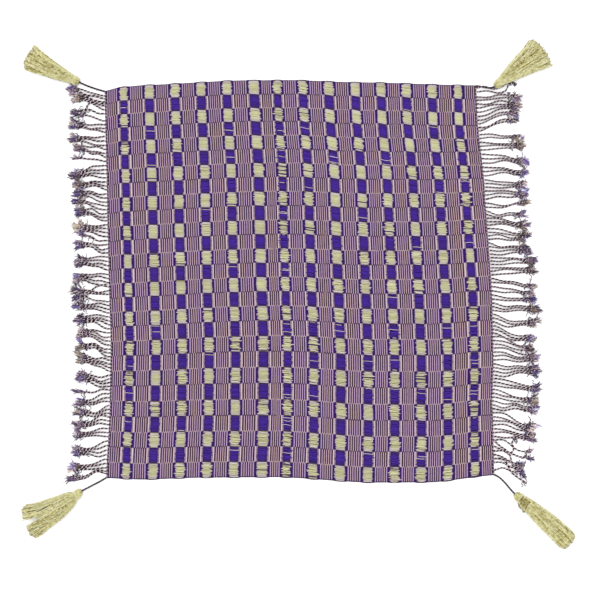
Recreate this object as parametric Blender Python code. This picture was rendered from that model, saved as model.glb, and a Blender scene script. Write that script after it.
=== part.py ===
"""Square hand-woven scarf, laid flat: woven cloth, two twisted fringes and a tassel at each corner.

Units are metres and +Z is up. The warp runs along X, so the fringes are at -X and +X and the
selvedges at -Y and +Y. The scarf lies on Z = 0 and the origin is the middle of its footprint.
"""

import math
import random

import bmesh
import bpy
from mathutils import Vector

# Cloth, as it lies: the corners of the woven square, then how far each edge bows outwards.
CORNERS = {
    "top_left": Vector((-0.3452, 0.3531)),
    "top_right": Vector((0.3115, 0.3629)),
    "bottom_left": Vector((-0.3425, -0.3301)),
    "bottom_right": Vector((0.3434, -0.3248)),
}
# Each row: share of the way along the edge, bow outwards.
TOP_BOW = (
    (0.0, 0.0), (0.04, 0.006), (0.10, 0.009), (0.36, 0.015), (0.50, 0.0142), (0.68, 0.0085), (1.0, 0.0),
)
BOTTOM_BOW = (
    (0.0, 0.0), (0.09, 0.003), (0.24, 0.0005), (0.44, 0.0005), (0.68, 0.0115), (0.84, 0.0118), (1.0, 0.0),
)
LEFT_BOW = ((0.0, 0.0), (0.30, -0.0036), (0.48, -0.0058), (0.65, -0.0088), (0.82, -0.0066), (1.0, 0.0))
RIGHT_BOW = (
    (0.0, 0.0), (0.09, -0.0007), (0.25, 0.006), (0.53, 0.0105), (0.68, 0.0085), (0.82, 0.0025), (1.0, 0.0),
)

# Weave: plain striped columns take turns with block columns, whose warp floats stand proud.
BLOCK_COLUMNS = 14
STRIPE_WIDTHS = (
    0.0219, 0.0222, 0.0217, 0.0221, 0.0219, 0.0229, 0.0171, 0.0221, 0.0217, 0.0226, 0.0215, 0.0214,
    0.0217, 0.0223, 0.0209,
)
BLOCK_WIDTHS = (
    0.0239, 0.0253, 0.0253, 0.0253, 0.0253, 0.0278, 0.0232, 0.0253, 0.0265, 0.0253, 0.0253, 0.0253,
    0.0253, 0.0249,
)
COLOUR_BANDS = 27
BAND_GROWTH = 0.075
STRIPE_WALL = 0.0014
BLOCK_WALL = 0.0020
SELVEDGE_SCALLOP = 0.0012
SELVEDGE_WALL = 0.0016
CLOTH_LENGTH = 0.70
# The bands wander: waves down the cloth, each with one more half turn than the last. Each row:
# constant, slope and curve of the wave across the cloth, in metres.
WANDER_UP = (
    (0.0029, 0.0028, 0.0003), (0.0003, 0.0012, 0.0005), (-0.0012, -0.0015, 0.0004),
    (0.0014, 0.0002, -0.0006), (-0.0005, -0.0004, 0.0001),
)
WANDER_RIGHT = (
    (-0.0001, 0.0, 0.0001), (0.0002, -0.0008, -0.0011), (0.0009, 0.0006, -0.0010),
    (-0.0002, -0.0003, -0.0002),
)

# Fringe: the warp ends, twisted and knotted, leave a narrow strip of the last picks.
SEAM_GAP = 0.0003
STRIP_WIDTH = 0.003
STRIP_WALL = 0.0014
STRIP_END = 0.005
KNOT_SPACING = 0.0037
STRAND_WAVE = 0.0006
STRAND_SAMPLE = 0.05
# Each row: share of the strand's length, width, height, lowest point above the floor.
STRAND_RINGS = (
    (0.24, 0.0023, 0.0019, 0.0006),
    (0.52, 0.0022, 0.0018, 0.0005),
    (0.76, 0.0023, 0.0020, 0.0004),
    (0.84, 0.0032, 0.0029, 0.0004),
    (1.00, 0.0029, 0.0016, 0.0004),
)
KNOT_SHARE = 0.80
TUFT_SPLAY = 1.12
# Each row: strands in the clump, place of its knots down the edge, reach out from the edge, how
# far further down the edge its knots lie than its roots.
LEFT_CLUMPS = (
    (2, -0.003, 0.066, -0.0115), (3, 0.012, 0.063, -0.013), (3, 0.038, 0.067, -0.009),
    (3, 0.06, 0.065, -0.004), (3, 0.084, 0.066, -0.003), (3, 0.1, 0.060, -0.0115),
    (1, 0.118, 0.063, -0.005), (4, 0.147, 0.067, 0.003), (3, 0.166, 0.064, 0),
    (3, 0.181, 0.062, -0.008), (2, 0.195, 0.068, -0.0115), (3, 0.213, 0.060, -0.009),
    (4, 0.242, 0.061, -0.0035), (1, 0.256, 0.053, -0.008), (3, 0.271, 0.060, -0.006),
    (4, 0.301, 0.062, -0.004), (4, 0.329, 0.065, -0.006), (4, 0.357, 0.072, -0.0065),
    (3, 0.381, 0.066, -0.0035), (4, 0.403, 0.065, -0.007), (4, 0.428, 0.064, -0.009),
    (3, 0.451, 0.064, -0.013), (4, 0.474, 0.064, -0.01), (4, 0.507, 0.065, -0.006),
    (1, 0.532, 0.065, 0.004), (3, 0.55, 0.062, 0.008), (3, 0.568, 0.065, 0.006),
    (3, 0.589, 0.065, 0.006), (3, 0.607, 0.067, 0.004), (4, 0.637, 0.064, 0.008),
    (3, 0.665, 0.071, 0.005), (2, 0.684, 0.074, 0.008),
)
RIGHT_CLUMPS = (
    (4, 0.015, 0.084, 0.002), (4, 0.0345, 0.081, -0.009), (2, 0.048, 0.075, -0.017),
    (2, 0.061, 0.071, -0.015), (2, 0.09, 0.078, 0), (3, 0.106, 0.082, 0),
    (3, 0.133, 0.089, 0.005), (3, 0.154, 0.079, 0.001), (3, 0.175, 0.077, 0.002),
    (3, 0.192, 0.080, 0), (2, 0.207, 0.080, -0.005), (2, 0.227, 0.076, 0.002),
    (3, 0.246, 0.078, 0.005), (4, 0.267, 0.077, 0.006), (4, 0.289, 0.076, 0),
    (3, 0.31, 0.084, 0), (3, 0.326, 0.081, -0.002), (2, 0.354, 0.083, 0.01),
    (2, 0.366, 0.081, 0.007), (2, 0.378, 0.082, 0.003), (3, 0.394, 0.085, 0.003),
    (3, 0.419, 0.085, 0.008), (3, 0.446, 0.075, 0.014), (3, 0.464, 0.072, 0.014),
    (4, 0.481, 0.080, 0.006), (4, 0.503, 0.084, 0), (3, 0.535, 0.088, 0.011),
    (3, 0.556, 0.085, 0.012), (3, 0.572, 0.083, 0.007), (4, 0.605, 0.079, 0.016),
    (3, 0.621, 0.079, 0.006), (4, 0.652, 0.076, 0.016), (5, 0.676, 0.055, 0.009),
)

# Tassels: a bound head, then two layers of yarn locks that fan out over the floor.
TASSEL_FLOOR = 0.0004
TASSEL_HEAD_WIDTH = 0.0154
TASSEL_NECK_WIDTH = 0.0142
TASSEL_NECK_SHARE = 0.13
LOCK_COLUMNS = 6
LOCK_ROOT_SHARE = 0.22
LOCK_SHARES = (0.38, 0.58, 0.79, 1.0)
LOCK_ROOT_GAP = 0.0005
LOCK_END_GAP = 0.0013
LOCK_END_SPREAD = 0.02
PARTING_SHARE = 0.70
SECTION_SHOULDER = 0.55
SECTION_ROUND = 0.86
SECTION_SIDE_LIFT = 0.10
SECTION_NARROWING = 0.95
# Each row: share of the tassel's length, share of the head's width, height.
TASSEL_HEAD_RINGS = ((0.0, 0.45, 0.0048), (0.02, 0.85, 0.0078), (0.06, 1.0, 0.0090), (0.10, 0.95, 0.0086))
# Each row: share of the tassel's length, height of both layers of locks.
TASSEL_HEIGHTS = ((0.10, 0.0086), (0.13, 0.0074), (0.22, 0.0092), (0.50, 0.0086), (1.0, 0.0056))
# Each row: corner, head from the corner, heading, reach, half angle of the fan, fullness
# (lower is fuller near the head), gap that parts the fan's end in two, slant of the end,
# how far the middle of the tassel bends to its left.
TASSELS = (
    ("top_left", (-0.0450, 0.0160), 153.5, 0.103, 13.0, 0.95, 0.0, 0.0, 0.0021),
    ("top_right", (0.0329, -0.0013), 36.2, 0.108, 16.0, 0.87, 0.001, 0.0, 0.0015),
    ("bottom_left", (-0.0434, -0.0235), 209.5, 0.115, 14.8, 0.56, 0.0045, 0.05, 0.0048),
    ("bottom_right", (0.0364, -0.0338), -41.6, 0.131, 8.0, 0.45, 0.0, 0.0, 0.0010),
)

# Ties: the twisted warp ends that hold each tassel to its corner.
TIE_WIDTH = 0.0022
TIE_CORNER_HEIGHT = 0.0014
TIE_HEAD_HEIGHT = 0.0026
TIE_STATIONS = 9
# The heading at which each tie leaves its corner.
TIE_HEADINGS = {"top_left": 166.0, "top_right": -4.0, "bottom_left": 212.0, "bottom_right": -20.0}

SEED = 7


def clear_scene():
    """Empties the scene before the scarf is built."""
    for old in list(bpy.data.objects):
        bpy.data.objects.remove(old)


def make_material(name, colour, roughness):
    """Gives a Principled material of one colour."""
    finish = bpy.data.materials.new(name)
    finish.use_nodes = True
    shader = finish.node_tree.nodes["Principled BSDF"]
    shader.inputs["Base Color"].default_value = (*colour, 1.0)
    shader.inputs["Roughness"].default_value = roughness
    shader.inputs["Metallic"].default_value = 0.0
    return finish


def make_object(name, mesh_builder, finish):
    """Turns a bmesh into one named object whose faces point outwards."""
    bmesh.ops.recalc_face_normals(mesh_builder, faces=mesh_builder.faces)
    mesh = bpy.data.meshes.new(name)
    mesh_builder.to_mesh(mesh)
    mesh_builder.free()
    mesh.materials.append(finish)
    piece = bpy.data.objects.new(name, mesh)
    bpy.context.collection.objects.link(piece)
    return piece


def smooth_value(rows, share):
    """Reads a smooth curve through (share, value) rows, with level ends between rising rows."""
    for (low, first), (high, last) in zip(rows, rows[1:]):
        if share <= high:
            step = (share - low) / (high - low)
            ease = step * step * (3.0 - 2.0 * step)
            return first + (last - first) * (0.5 * ease + 0.5 * step)
    return rows[-1][1]


def heading_vector(degrees):
    """Gives the unit vector in plan at an angle from +X."""
    return Vector((math.cos(math.radians(degrees)), math.sin(math.radians(degrees))))


def edge_point(first, last, outward, bow, share):
    """Gives a point on an edge of the cloth: the straight line between corners, bowed outwards."""
    return CORNERS[first].lerp(CORNERS[last], share) + Vector(outward) * smooth_value(bow, share)


def top_edge(share):
    return edge_point("top_left", "top_right", (0, 1), TOP_BOW, share)


def bottom_edge(share):
    return edge_point("bottom_left", "bottom_right", (0, -1), BOTTOM_BOW, share)


def left_edge(share):
    return edge_point("top_left", "bottom_left", (-1, 0), LEFT_BOW, share)


def right_edge(share):
    return edge_point("top_right", "bottom_right", (1, 0), RIGHT_BOW, share)


def wander(rows, across, down):
    """Adds up the waves down the cloth, with their slopes and curves across it."""
    side = 2.0 * across - 1.0
    total = 0.0
    for turns, (constant, slope, curve) in enumerate(rows, 1):
        height = constant + slope * side + curve * (1.5 * side * side - 0.5)
        total += math.sin(turns * math.pi * down) * height
    return total


def cloth_point(across, down):
    """Blends the four edges over the cloth: across runs left to right, down from the top edge."""
    aside = wander(WANDER_RIGHT, across, down) * (1.0 - (2.0 * across - 1.0) ** 6)
    down = down - wander(WANDER_UP, across, down) / CLOTH_LENGTH
    between_selvedges = top_edge(across).lerp(bottom_edge(across), down)
    between_fringes = left_edge(down).lerp(right_edge(down), across)
    top = CORNERS["top_left"].lerp(CORNERS["top_right"], across)
    bottom = CORNERS["bottom_left"].lerp(CORNERS["bottom_right"], across)
    return between_selvedges + between_fringes - top.lerp(bottom, down) + Vector((aside, 0.0))


def column_stations():
    """Lists (share across, is a block's middle) at each column's start and middle."""
    widths = []
    for column in range(2 * BLOCK_COLUMNS + 1):
        widths.append((BLOCK_WIDTHS if column % 2 else STRIPE_WIDTHS)[column // 2])
    total = sum(widths)
    stations = []
    start = 0.0
    for column, width in enumerate(widths):
        stations.append((start / total, False))
        stations.append(((start + width / 2) / total, column % 2 == 1))
        start += width
    return stations + [(1.0, False)]


def band_share(band):
    """Gives a colour band's start, from the top: the bands grow slightly longer downwards."""
    step = band / COLOUR_BANDS
    return (1.0 - BAND_GROWTH) * step + BAND_GROWTH * step * step


def build_cloth(finish):
    """Builds the woven square: a flat underside and a top that swells at each block of floats."""
    mesh = bmesh.new()
    columns = column_stations()
    rows = [band_share(band) for band in range(COLOUR_BANDS + 1)]
    top = []
    for row, down in enumerate(rows):
        on_selvedge = row in (0, COLOUR_BANDS)
        line = []
        for across, is_block in columns:
            place = cloth_point(across, down)
            if on_selvedge and is_block:
                place.y += SELVEDGE_SCALLOP if row == 0 else -SELVEDGE_SCALLOP
            wall = BLOCK_WALL if is_block else STRIPE_WALL
            wall = SELVEDGE_WALL if on_selvedge else wall
            line.append(mesh.verts.new((place.x, place.y, wall)))
        top.append(line)
    for upper, lower in zip(top, top[1:]):
        for column in range(len(columns) - 1):
            mesh.faces.new((upper[column], lower[column], lower[column + 1], upper[column + 1]))
    rim = top[0] + [line[-1] for line in top[1:]]
    rim += top[-1][-2::-1] + [line[0] for line in top[-2:0:-1]]
    foot = [mesh.verts.new((corner.co.x, corner.co.y, 0.0)) for corner in rim]
    for index in range(len(rim)):
        after = (index + 1) % len(rim)
        mesh.faces.new((rim[index], rim[after], foot[after], foot[index]))
    mesh.faces.new(foot)
    return make_object("cloth", mesh, finish)


def strand_ends(clumps, length):
    """Lists (root's place, knot's place, splay from the clump's middle, reach) for each strand."""
    middles = [place - lean for strands, place, reach, lean in clumps]
    bounds = [STRIP_END]
    for index in range(len(clumps) - 1):
        share = clumps[index][0] / (clumps[index][0] + clumps[index + 1][0])
        bounds.append(middles[index] + (middles[index + 1] - middles[index]) * share)
    bounds.append(length - STRIP_END)
    ends = []
    for (strands, place, reach, lean), low, high in zip(clumps, bounds, bounds[1:]):
        for strand in range(strands):
            root = low + (high - low) * (strand + 0.5) / strands
            ends.append((root, place, (strand - (strands - 1) / 2) * KNOT_SPACING, reach))
    return ends


def strand_centre(root, knot, wave, share):
    """Gives a strand's middle in plan: it eases from its root to its clump, then runs straight."""
    step = min(share / KNOT_SHARE, 1.0)
    ease = step * step * (3.0 - 2.0 * step)
    along = root.x + (knot.x - root.x) * share
    across = root.y + (knot.y - root.y) * ease + wave * math.sin(math.pi * step)
    return Vector((along, across))


def build_fringe(name, edge, outward, clumps, finish, chance):
    """Builds one fringe: a strip beside the cloth's edge and the strands that leave its outer wall."""
    mesh = bmesh.new()
    inner = Vector((outward * SEAM_GAP, 0.0))
    outer = Vector((outward * (SEAM_GAP + STRIP_WIDTH), 0.0))
    length = (edge(1.0) - edge(0.0)).length
    first_share = STRIP_END / length
    rows = [band_share(band) for band in range(COLOUR_BANDS + 1)]
    rows = [first_share] + rows[1:-1] + [1.0 - first_share]
    inner_low = [mesh.verts.new((*(edge(down) + inner), 0.0)) for down in rows]
    inner_high = [mesh.verts.new((*(edge(down) + inner), STRIP_WALL)) for down in rows]
    half_root = STRAND_RINGS[0][1] / 2 / length
    outer_low = [mesh.verts.new((*(edge(first_share) + outer), 0.0))]
    outer_high = [mesh.verts.new((*(edge(first_share) + outer), STRIP_WALL))]
    for root_place, place, splay, reach in strand_ends(clumps, length):
        middle = root_place / length
        root = edge(middle) + outer
        ring = [
            mesh.verts.new((*(edge(middle - half_root) + outer), 0.0)),
            mesh.verts.new((*(edge(middle + half_root) + outer), 0.0)),
            mesh.verts.new((*root, STRIP_WALL)),
        ]
        mesh.faces.new((outer_low[-1], ring[0], ring[2], outer_high[-1]))
        outer_low += ring[:2]
        outer_high.append(ring[2])
        tip_x = edge(min(max(place / length, 0.0), 1.0)).x + outward * reach
        wave = chance.uniform(-STRAND_WAVE, STRAND_WAVE)
        for share, width, height, low in STRAND_RINGS:
            spread = splay * (TUFT_SPLAY if share > KNOT_SHARE else 1.0)
            knot = Vector((tip_x, edge(0.0).y - place - spread))
            centre = strand_centre(root, knot, wave, share)
            before = strand_centre(root, knot, wave, share - STRAND_SAMPLE)
            forward = (centre - before).normalized()
            side = Vector((forward.y, -forward.x)) * (width / 2) * outward
            new_ring = [
                mesh.verts.new((*(centre - side), low)),
                mesh.verts.new((*(centre + side), low)),
                mesh.verts.new((*centre, low + height)),
            ]
            for corner in range(3):
                after = (corner + 1) % 3
                mesh.faces.new((ring[corner], ring[after], new_ring[after], new_ring[corner]))
            ring = new_ring
        mesh.faces.new(ring)
    last = edge(1.0 - first_share) + outer
    last_low = mesh.verts.new((*last, 0.0))
    last_high = mesh.verts.new((*last, STRIP_WALL))
    mesh.faces.new((outer_low[-1], last_low, last_high, outer_high[-1]))
    outer_low.append(last_low)
    outer_high.append(last_high)
    for index in range(len(rows) - 1):
        mesh.faces.new((inner_low[index], inner_low[index + 1], inner_high[index + 1], inner_high[index]))
    mesh.faces.new((inner_low[0], outer_low[0], outer_high[0], inner_high[0]))
    mesh.faces.new((inner_low[-1], outer_low[-1], outer_high[-1], inner_high[-1]))
    mesh.faces.new(inner_low + outer_low[::-1])
    mesh.faces.new(inner_high + outer_high[::-1])
    return make_object(name, mesh, finish)


class Tassel:
    """Works out one tassel's points from its row of sizes."""

    def __init__(self, corner, head, heading, reach, fan, fullness, parting, slant, bend):
        self.corner = corner
        self.head = CORNERS[corner] + Vector(head)
        self.forward = heading_vector(heading)
        self.side = Vector((-self.forward.y, self.forward.x))
        self.reach = reach
        self.fan = math.radians(fan)
        self.end_half = reach * math.sin(self.fan)
        self.fullness = fullness
        self.parting = parting
        self.slant = slant
        self.bend = bend

    def half_width(self, share):
        """Half the skirt's width: it swells from the bound neck to the end of the fan."""
        neck = TASSEL_NECK_WIDTH / 2
        step = (share - TASSEL_NECK_SHARE) / (1.0 - TASSEL_NECK_SHARE)
        return neck + (self.end_half - neck) * max(step, 0.0) ** self.fullness

    def end_share(self, column, spread):
        """Where a lock ends: the tips lie on an arc about the head, slanted and unevenly cut."""
        across = (2.0 * column + 1.0) / LOCK_COLUMNS - 1.0
        return math.cos(self.fan * across) + self.slant * across + spread

    def point(self, share, across, level, half_width, height):
        """One point: across runs -1 to 1 over the width, level 0, 1 or 2 up the height."""
        dome = math.sqrt(1.0 - (SECTION_ROUND * across) ** 2)
        crown = SECTION_SHOULDER + (1.0 - SECTION_SHOULDER) * dome
        rise = TASSEL_FLOOR + height * crown * level / 2
        if level == 0:
            rise += SECTION_SIDE_LIFT * height * across * across
        narrow = 1.0 if level == 1 else SECTION_NARROWING
        parting_share = (share - PARTING_SHARE) / (1.0 - PARTING_SHARE)
        parting = math.copysign(self.parting * max(parting_share, 0.0), across)
        place = self.head + self.forward * (share * self.reach)
        bend = self.bend * math.sin(math.pi * share)
        place += self.side * (across * half_width * narrow + parting + bend)
        return Vector((place.x, place.y, rise))

    def ring(self, share, half_width, height):
        """Sixteen points round a section: bottom row, right middle, top row, left middle."""
        steps = [2.0 * column / LOCK_COLUMNS - 1.0 for column in range(LOCK_COLUMNS + 1)]
        bottom = [self.point(share, across, 0, half_width, height) for across in steps]
        right = [self.point(share, 1.0, 1, half_width, height)]
        top = [self.point(share, across, 2, half_width, height) for across in reversed(steps)]
        left = [self.point(share, -1.0, 1, half_width, height)]
        return bottom + right + top + left

    def lock_ring(self, share, reach_share, column, layer, gap):
        """Four corners of one lock's section, half a gap in from its neighbours."""
        half_width = self.half_width(share)
        height = smooth_value(TASSEL_HEIGHTS, share)
        trim = gap / 2 / half_width
        left = 2.0 * column / LOCK_COLUMNS - 1.0 + trim
        right = 2.0 * (column + 1) / LOCK_COLUMNS - 1.0 - trim
        corners = []
        for across, level in ((left, 0), (right, 0), (right, 1), (left, 1)):
            corner = self.point(reach_share, across, level + layer, half_width, height)
            corner.z += gap / 2 if level == 0 and layer == 1 else 0.0
            corner.z -= gap / 2 if level == 1 else 0.0
            corners.append(corner)
        return corners


def build_tassel(shape, finish, chance):
    """Builds one tassel: rings for its bound head, a cap of cells, and a lock out of each cell."""
    mesh = bmesh.new()
    rings = []
    for share, width_share, height in TASSEL_HEAD_RINGS:
        points = shape.ring(share, width_share * TASSEL_HEAD_WIDTH / 2, height)
        rings.append([mesh.verts.new(point) for point in points])
    for share in (TASSEL_NECK_SHARE, LOCK_ROOT_SHARE):
        points = shape.ring(share, shape.half_width(share), smooth_value(TASSEL_HEIGHTS, share))
        rings.append([mesh.verts.new(point) for point in points])
    for ring, next_ring in zip(rings, rings[1:]):
        for index in range(len(ring)):
            after = (index + 1) % len(ring)
            mesh.faces.new((ring[index], ring[after], next_ring[after], next_ring[index]))
    mesh.faces.new(rings[0])
    cap = rings[-1]
    bottom = cap[:LOCK_COLUMNS + 1]
    top = cap[LOCK_COLUMNS + 2:-1][::-1]
    half_width = shape.half_width(LOCK_ROOT_SHARE)
    height = smooth_value(TASSEL_HEIGHTS, LOCK_ROOT_SHARE)
    middle = [cap[-1]]
    for column in range(1, LOCK_COLUMNS):
        across = 2.0 * column / LOCK_COLUMNS - 1.0
        middle.append(mesh.verts.new(shape.point(LOCK_ROOT_SHARE, across, 1, half_width, height)))
    middle.append(cap[LOCK_COLUMNS + 1])
    for layer, (lower, upper) in enumerate(((bottom, middle), (middle, top))):
        for column in range(LOCK_COLUMNS):
            cell = [lower[column], lower[column + 1], upper[column + 1], upper[column]]
            end_share = shape.end_share(column, chance.uniform(-LOCK_END_SPREAD, LOCK_END_SPREAD))
            shares = (LOCK_ROOT_SHARE,) + LOCK_SHARES
            for share in shares:
                step = (share - LOCK_ROOT_SHARE) / (1.0 - LOCK_ROOT_SHARE)
                gap = LOCK_ROOT_GAP + (LOCK_END_GAP - LOCK_ROOT_GAP) * step
                reach_share = LOCK_ROOT_SHARE + (end_share - LOCK_ROOT_SHARE) * step
                corners = shape.lock_ring(share, reach_share, column, layer, gap)
                if share == LOCK_ROOT_SHARE and layer == 0:
                    corners[0].z += gap / 2
                    corners[1].z += gap / 2
                next_cell = [mesh.verts.new(corner) for corner in corners]
                for index in range(4):
                    after = (index + 1) % 4
                    mesh.faces.new((cell[index], cell[after], next_cell[after], next_cell[index]))
                cell = next_cell
            mesh.faces.new(cell)
    return make_object("tassel_" + shape.corner, mesh, finish)


def build_tie(shape, finish):
    """Builds a tie as a four-sided tube, on a curve from the cloth's corner to the tassel's head."""
    mesh = bmesh.new()
    leave = heading_vector(TIE_HEADINGS[shape.corner])
    start = CORNERS[shape.corner] + leave * SEAM_GAP
    end = shape.head - shape.forward * SEAM_GAP
    pull = (end - start).length
    ring = None
    for station in range(TIE_STATIONS):
        share = station / (TIE_STATIONS - 1)
        rest = 1.0 - share
        place = start * rest * rest * (1.0 + 2.0 * share) + end * share * share * (3.0 - 2.0 * share)
        place += leave * pull * share * rest * rest - shape.forward * pull * share * share * rest
        slope = (end - start) * 6.0 * share * rest + leave * pull * rest * (1.0 - 3.0 * share)
        slope += shape.forward * pull * share * (3.0 * share - 2.0)
        forward = slope.normalized()
        side = Vector((-forward.y, forward.x)) * TIE_WIDTH / 2
        height = TIE_CORNER_HEIGHT + (TIE_HEAD_HEIGHT - TIE_CORNER_HEIGHT) * share
        new_ring = [
            mesh.verts.new((*(place + side), height)),
            mesh.verts.new((*place, height - TIE_WIDTH / 2)),
            mesh.verts.new((*(place - side), height)),
            mesh.verts.new((*place, height + TIE_WIDTH / 2)),
        ]
        if ring is None:
            mesh.faces.new(new_ring)
        else:
            for corner in range(4):
                after = (corner + 1) % 4
                mesh.faces.new((ring[corner], ring[after], new_ring[after], new_ring[corner]))
        ring = new_ring
    mesh.faces.new(ring)
    return make_object("tie_" + shape.corner, mesh, finish)


def centre_on_footprint(pieces):
    """Moves the meshes so that the origin is the middle of the scarf's footprint."""
    corners = [corner.co for piece in pieces for corner in piece.data.vertices]
    middle_x = (min(corner.x for corner in corners) + max(corner.x for corner in corners)) / 2
    middle_y = (min(corner.y for corner in corners) + max(corner.y for corner in corners)) / 2
    for corner in corners:
        corner.x -= middle_x
        corner.y -= middle_y


def main():
    clear_scene()
    chance = random.Random(SEED)
    cloth_finish = make_material("cloth", (0.31, 0.22, 0.33), 0.85)
    fringe_finish = make_material("fringe", (0.20, 0.15, 0.21), 0.90)
    tassel_finish = make_material("tassel", (0.62, 0.57, 0.33), 0.80)
    tie_finish = make_material("tie", (0.06, 0.05, 0.07), 0.85)
    pieces = [build_cloth(cloth_finish)]
    pieces.append(build_fringe("fringe_left", left_edge, -1, LEFT_CLUMPS, fringe_finish, chance))
    pieces.append(build_fringe("fringe_right", right_edge, 1, RIGHT_CLUMPS, fringe_finish, chance))
    for row in TASSELS:
        shape = Tassel(*row)
        pieces.append(build_tassel(shape, tassel_finish, chance))
        pieces.append(build_tie(shape, tie_finish))
    centre_on_footprint(pieces)


main()
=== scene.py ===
# %% [markdown]
# # A fringed scarf, laid out flat
#
# A square of hand-woven cotton lies on a white floor and is seen from straight above. Its warp ends
# are twisted into fringes on the left and on the right, and a cream tassel hangs from each corner.
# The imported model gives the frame: where the cloth, the fringes, the tassels and their ties lie.
# Here each of them gets its yarns. Nearly every yarn is the same idea, an oval carried along a path,
# so one numpy function makes floats, cords, strands and tassels alike.

import bpy
import numpy as np
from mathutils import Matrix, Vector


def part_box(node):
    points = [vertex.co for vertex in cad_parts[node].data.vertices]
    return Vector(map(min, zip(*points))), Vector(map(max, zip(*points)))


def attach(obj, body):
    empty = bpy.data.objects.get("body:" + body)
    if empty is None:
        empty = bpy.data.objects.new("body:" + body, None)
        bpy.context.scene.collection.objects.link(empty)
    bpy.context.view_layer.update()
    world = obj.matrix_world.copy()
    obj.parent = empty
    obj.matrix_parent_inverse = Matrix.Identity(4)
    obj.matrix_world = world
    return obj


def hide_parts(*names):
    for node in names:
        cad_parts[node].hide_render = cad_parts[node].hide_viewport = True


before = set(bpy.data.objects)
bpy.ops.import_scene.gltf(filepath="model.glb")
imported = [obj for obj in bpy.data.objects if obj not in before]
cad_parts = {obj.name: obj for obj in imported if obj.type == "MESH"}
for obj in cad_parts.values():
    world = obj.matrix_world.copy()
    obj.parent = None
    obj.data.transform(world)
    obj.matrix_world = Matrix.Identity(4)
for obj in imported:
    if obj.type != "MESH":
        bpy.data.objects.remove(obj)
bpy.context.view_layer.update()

# %% [markdown]
# ## Where things lie
#
# The same tables as in the part's source say how the cloth lies: four corners, and how far each edge
# bows outwards. A point of the cloth is found from its share across and its share down. This is a
# Coons patch: it follows all four edges, and that is why every stripe and band bends with them.

# %% Tables of the cloth, as it lies
CORNERS = {
    "top_left": (-0.3452, 0.3531),
    "top_right": (0.3115, 0.3629),
    "bottom_left": (-0.3425, -0.3301),
    "bottom_right": (0.3434, -0.3248),
}
CORNERS = {name: np.array(place) for name, place in CORNERS.items()}
# Each row: the share along an edge, and how far the edge bows outwards there, in metres.
TOP_BOW = (
    (0.0, 0.0), (0.04, 0.006), (0.10, 0.009), (0.36, 0.015), (0.50, 0.0142), (0.68, 0.0085),
    (1.0, 0.0),
)
BOTTOM_BOW = (
    (0.0, 0.0), (0.09, 0.003), (0.24, 0.0005), (0.44, 0.0005), (0.68, 0.0115), (0.84, 0.0118),
    (1.0, 0.0),
)
LEFT_BOW = (
    (0.0, 0.0), (0.30, -0.0036), (0.48, -0.0058), (0.65, -0.0088), (0.82, -0.0066), (1.0, 0.0),
)
RIGHT_BOW = (
    (0.0, 0.0), (0.09, -0.0007), (0.25, 0.006), (0.53, 0.0105), (0.68, 0.0085), (0.82, 0.0025),
    (1.0, 0.0),
)
EDGES = {
    "top": ("top_left", "top_right", (0, 1), TOP_BOW),
    "bottom": ("bottom_left", "bottom_right", (0, -1), BOTTOM_BOW),
    "left": ("top_left", "bottom_left", (-1, 0), LEFT_BOW),
    "right": ("top_right", "bottom_right", (1, 0), RIGHT_BOW),
}


def smooth_curve(rows, share):
    """Value at each share. Between two rows it is half a straight line and half 3s^2 - 2s^3."""
    rows = np.array(rows)
    share = np.asarray(share, float)
    index = np.clip(np.searchsorted(rows[:, 0], share) - 1, 0, len(rows) - 2)
    low, high = rows[index], rows[index + 1]
    step = np.clip((share - low[..., 0]) / (high[..., 0] - low[..., 0]), 0, 1)
    ease = step * step * (3 - 2 * step)
    return low[..., 1] + (high[..., 1] - low[..., 1]) * (ease + step) / 2


def edge(name, share):
    """Points of an edge: the straight line between its corners, plus the bow, outwards."""
    first, last, outward, bow = EDGES[name]
    share = np.asarray(share, float)
    line = CORNERS[first] + (CORNERS[last] - CORNERS[first]) * share[..., None]
    return line + np.array(outward) * smooth_curve(bow, share)[..., None]


def cloth_plan(across, down):
    """Coons patch: both pairs of edges blended, less the blend of the four corners."""
    across, down = np.broadcast_arrays(across, down)
    u, v = across[..., None], down[..., None]
    rails = edge("top", across) * (1 - v) + edge("bottom", across) * v
    sides = edge("left", down) * (1 - u) + edge("right", down) * u
    top = CORNERS["top_left"] * (1 - u) + CORNERS["top_right"] * u
    bottom = CORNERS["bottom_left"] * (1 - u) + CORNERS["bottom_right"] * u
    return rails + sides - top * (1 - v) - bottom * v


halfway = np.array(0.5)
print("middle of the patch in mm:", np.round(1000 * cloth_plan(halfway, halfway), 1))

# %% [markdown]
# ## The weave as a map
#
# Across, 15 plain striped columns take turns with 14 block columns. A striped column has 11 weft
# lines, of which the first and last are wider, and the seventh column is narrow, with 9 of them. A
# block column has a bar, the floats, and a bar. Downwards there are 27 bands, cream and purple in
# turn. So a place in the weave has two numbers: the column with its fraction, and the band with its
# fraction. Both go into a UV map later. The weaver's beat wasn't even, so the bands wander a little.
# That is a sum of a few sine waves down the cloth, each with its own slope and curve across it.

# %% Columns and bands
BLOCK_COLUMNS = 14
STRIPE_WIDTHS = (
    21.9, 22.2, 21.7, 22.1, 21.9, 22.9, 17.1, 22.1, 21.7, 22.6, 21.5, 21.4, 21.7, 22.3, 20.9,
)
BLOCK_WIDTHS = (
    23.9, 25.3, 25.3, 25.3, 25.3, 27.8, 23.2, 25.3, 26.5, 25.3, 25.3, 25.3, 25.3, 24.9,
)
BAR_WIDTHS = (4.0, 3.0, 3.0, 3.0, 3.0, 3.0, 3.1, 3.1, 3.0, 3.0, 3.0, 3.0, 3.1, 3.9)
LINES = 11
NARROW_COLUMN = 12
NARROW_LINES = 9
EDGE_LINE = 1.2
BAR = 0.150
BANDS = 27
BAND_GROWTH = 0.075
SCALLOP = 0.0012
SCALLOP_FADE = 3
CLOTH_LENGTH = 0.70
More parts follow.
